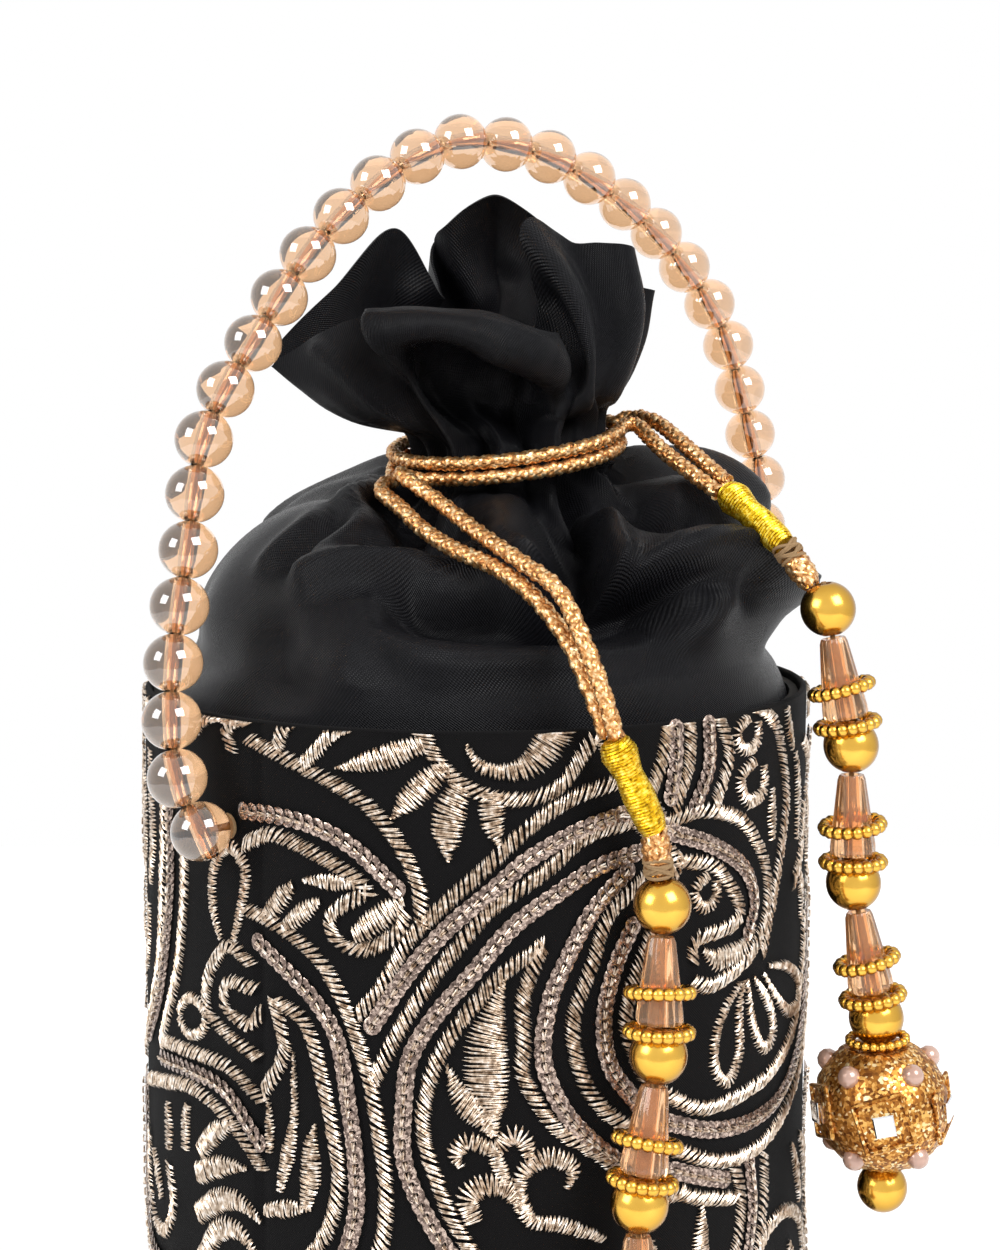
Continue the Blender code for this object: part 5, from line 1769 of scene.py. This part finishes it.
# %% Lower third of the panel, and what fills the sides
LOWER_OUTLINES = (
    ((-2, 38), (8, 34), (18, 36), (26, 43), (30, 50)),
    ((33, 44), (39, 36), (48, 31), (58, 31), (66, 37), (69, 47), (66, 56)),
    ((40, 43), (46, 38), (54, 37), (61, 42), (62, 50)),
    ((72, 50), (74, 38), (80, 28), (90, 24), (102, 26)),
    ((122, 100), (128, 108), (128, 118), (122, 126), (114, 130)),
    ((134, 139), (138, 128), (137, 116), (132, 104), (131, 92), (137, 82)),
    ((142, 139), (146, 133), (150, 138)),
    ((120, 70), (126, 62), (128, 52), (124, 42), (116, 36)),
    ((138, 70), (136, 60), (138, 50), (144, 42), (153, 38), (163, 40)),
    ((146, 62), (146, 54), (151, 48), (158, 48), (162, 54), (160, 60)),
    ((166, 46), (170, 38), (178, 33), (187, 34)),
    (*((12 * n, 12 + 5 * (n % 2)) for n in range(16)), (187, 12)),
)
LOWER_SEQUINS = (
    ((-2, 43), (8, 39), (17, 41), (24, 48)),
    ((37, 40), (43, 34), (53, 33), (62, 38), (65, 47)),
    ((76, 50), (78, 40), (84, 32), (93, 29), (104, 31)),
    ((126, 100), (133, 110), (132, 122), (125, 131)),
    ((124, 70), (131, 60), (132, 48), (127, 38), (118, 31)),
    ((142, 70), (141, 58), (144, 49), (150, 43), (160, 42)),
    ((0, 6), (47, 6), (94, 6), (140, 6), (187, 6)),
)
LOWER_FILLINGS = (
    (((47, 50), (51, 46), (55, 42)), (1.0, 4.4, 1.6), 0.4),
    (((54, 53), (56, 48), (58, 45)), (1.0, 3.6, 1.2), 0.4),
    (((92, 42), (97, 38), (104, 38)), (1.6, 4.2, 1.2), 0.0),
    (((105, 45), (108, 40), (112, 38)), (1.4, 3.6, 1.2), 0.0),
    (((116, 122), (119, 116), (119, 108)), (1.2, 4.4, 1.6), 0.5),
    (((108, 110), (112, 106), (112, 100)), (1.2, 3.8, 1.4), 0.5),
    (((141, 124), (144, 118), (143, 110)), (1.0, 4.2, 1.4), 0.0),
    (((112, 62), (117, 57), (119, 50)), (1.4, 4.6, 1.6), 0.0),
    (((106, 62), (110, 56), (112, 50)), (1.0, 3.6, 1.4), 0.0),
    (((151, 60), (154, 56), (156, 53)), (1.2, 3.6, 1.4), 0.0),
    (((130, 80), (128, 86), (124, 92)), (1.0, 3.8, 1.6), 0.4),
    (((144, 96), (140, 100), (139, 106)), (1.0, 3.4, 1.6), 0.4),
    *((((12 * n, 22), (12 * n + 3, 25), (12 * n + 6, 26)), (1.0, 3.2, 1.0), 0.0) for n in range(16)),
)
print("lower shapes:", len(LOWER_OUTLINES) + len(LOWER_SEQUINS) + len(LOWER_FILLINGS))


# %% [markdown]
# Sequins are sewn in lines, each covering half of the one before, with two threads
# through every hole that hold it down along the line.

# %% Sequins, and the whole design wrapped round the drum
REPEAT = math.pi * DRUM_RADIUS
SEQUIN_RADIUS = 1.5
SEQUIN_HOLE = 0.45
SEQUIN_PITCH = 1.8
SEQUIN_SIDES = 12
SEQUIN_LIFT = 0.34
SEQUIN_LEAN = 0.16
SEQUIN_RINGS = ((SEQUIN_HOLE, 0.0), (SEQUIN_HOLE + 0.05, 0.1), (1.0, 0.2), (SEQUIN_RADIUS, 0.03))
SEQUIN_THREADS = ((-0.3, 0.22), (0.22, -0.25))
SEQUIN_THREAD_LIFT = 0.95
STRETCH_FROM = 112.0
STRETCH_HEIGHT = 24.0
RIM_STRETCH = 1.8


def sequin_mesh(lines, shifts):
    """Thin domed discs with a hole, each leaning on the one before, and their threads."""
    angles = np.arange(SEQUIN_SIDES) * math.tau / SEQUIN_SIDES
    disc = [(a, d, c, b) for a, b, c, d in ring_faces(len(SEQUIN_RINGS), SEQUIN_SIDES, closed=True)]
    discs, threads = [], []
    for shift in shifts:
        for line in lines:
            places, tangents, normals = smooth_line([(s + shift, z) for s, z in line], SEQUIN_PITCH)
            for place, tangent, normal in zip(places, tangents, normals):
                lean = SEQUIN_LEAN + hand.uniform(-0.05, 0.05)
                rings = []
                for radius, rise in SEQUIN_RINGS:
                    across = radius * np.cos(angles)
                    beside = radius * np.sin(angles)
                    spot = place + across[:, None] * tangent + beside[:, None] * normal
                    rings.append(on_drum(spot[:, 0], spot[:, 1], SEQUIN_LIFT + rise + lean * across))
                discs.append((np.concatenate(rings), disc))
            for offset, skew in SEQUIN_THREADS:
                low = places - tangents * 0.35 + normals * offset
                high = places + tangents * 1.45 + normals * (offset + skew)
                threads.append((low + shaken(len(low), 0.1), high + shaken(len(high), 0.1)))
    return joined(discs), threads


def shifted(line, shift):
    """A line moved along the panel, and stretched up to the rim near the top."""
    return [
        (s + shift, z + RIM_STRETCH * min(1.0, max(0.0, (z - STRETCH_FROM) / STRETCH_HEIGHT)))
        for s, z in line
    ]


def embroider():
    shifts = (0.0, REPEAT)
    designs = (
        ("outline_rows", satin_row, [(line,) for line in OUTLINES]),
        ("lower_rows", satin_row, [(line,) for line in LOWER_OUTLINES]),
        ("leaf_fillings", filling, FILLINGS),
        ("lower_fillings", filling, LOWER_FILLINGS),
    )
    for name, work, shapes in designs:
        stitches = []
        for shift in shifts:
            for line, *widths_and_slant in shapes:
                stitches += work(shifted(line, shift), *widths_and_slant)
        add_piece(name, *stitch_mesh(stitches, THREAD_LIFT), ZARI, "embroidered_cloth")
        print(name, "stitches:", sum(len(pair[0]) for pair in stitches))
    discs, threads = sequin_mesh(SEQUIN_LINES + LOWER_SEQUINS, shifts)
    add_piece("sequins", *discs, SEQUIN, "embroidered_cloth")
    add_piece("sequin_threads", *stitch_mesh(threads, SEQUIN_THREAD_LIFT), ZARI, "embroidered_cloth")
    print("sequin faces:", len(discs[1]))


embroider()

# %% [markdown]
# ## Pieces that stay as they are
# The card, its disc, the lining and the two sewn rings already have their true shape,
# so they only get their finishes.

# %% Finish the solid pieces that show
for node, finish in (
    ("drum_card", CARD), ("base_disc", GROUND), ("lining_bag", LINING),
    ("left_stitch_ring", TIE), ("right_stitch_ring", TIE),
):
    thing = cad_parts[node]
    thing.data.materials.clear()
    thing.data.materials.append(finish)
    print("finished:", node)
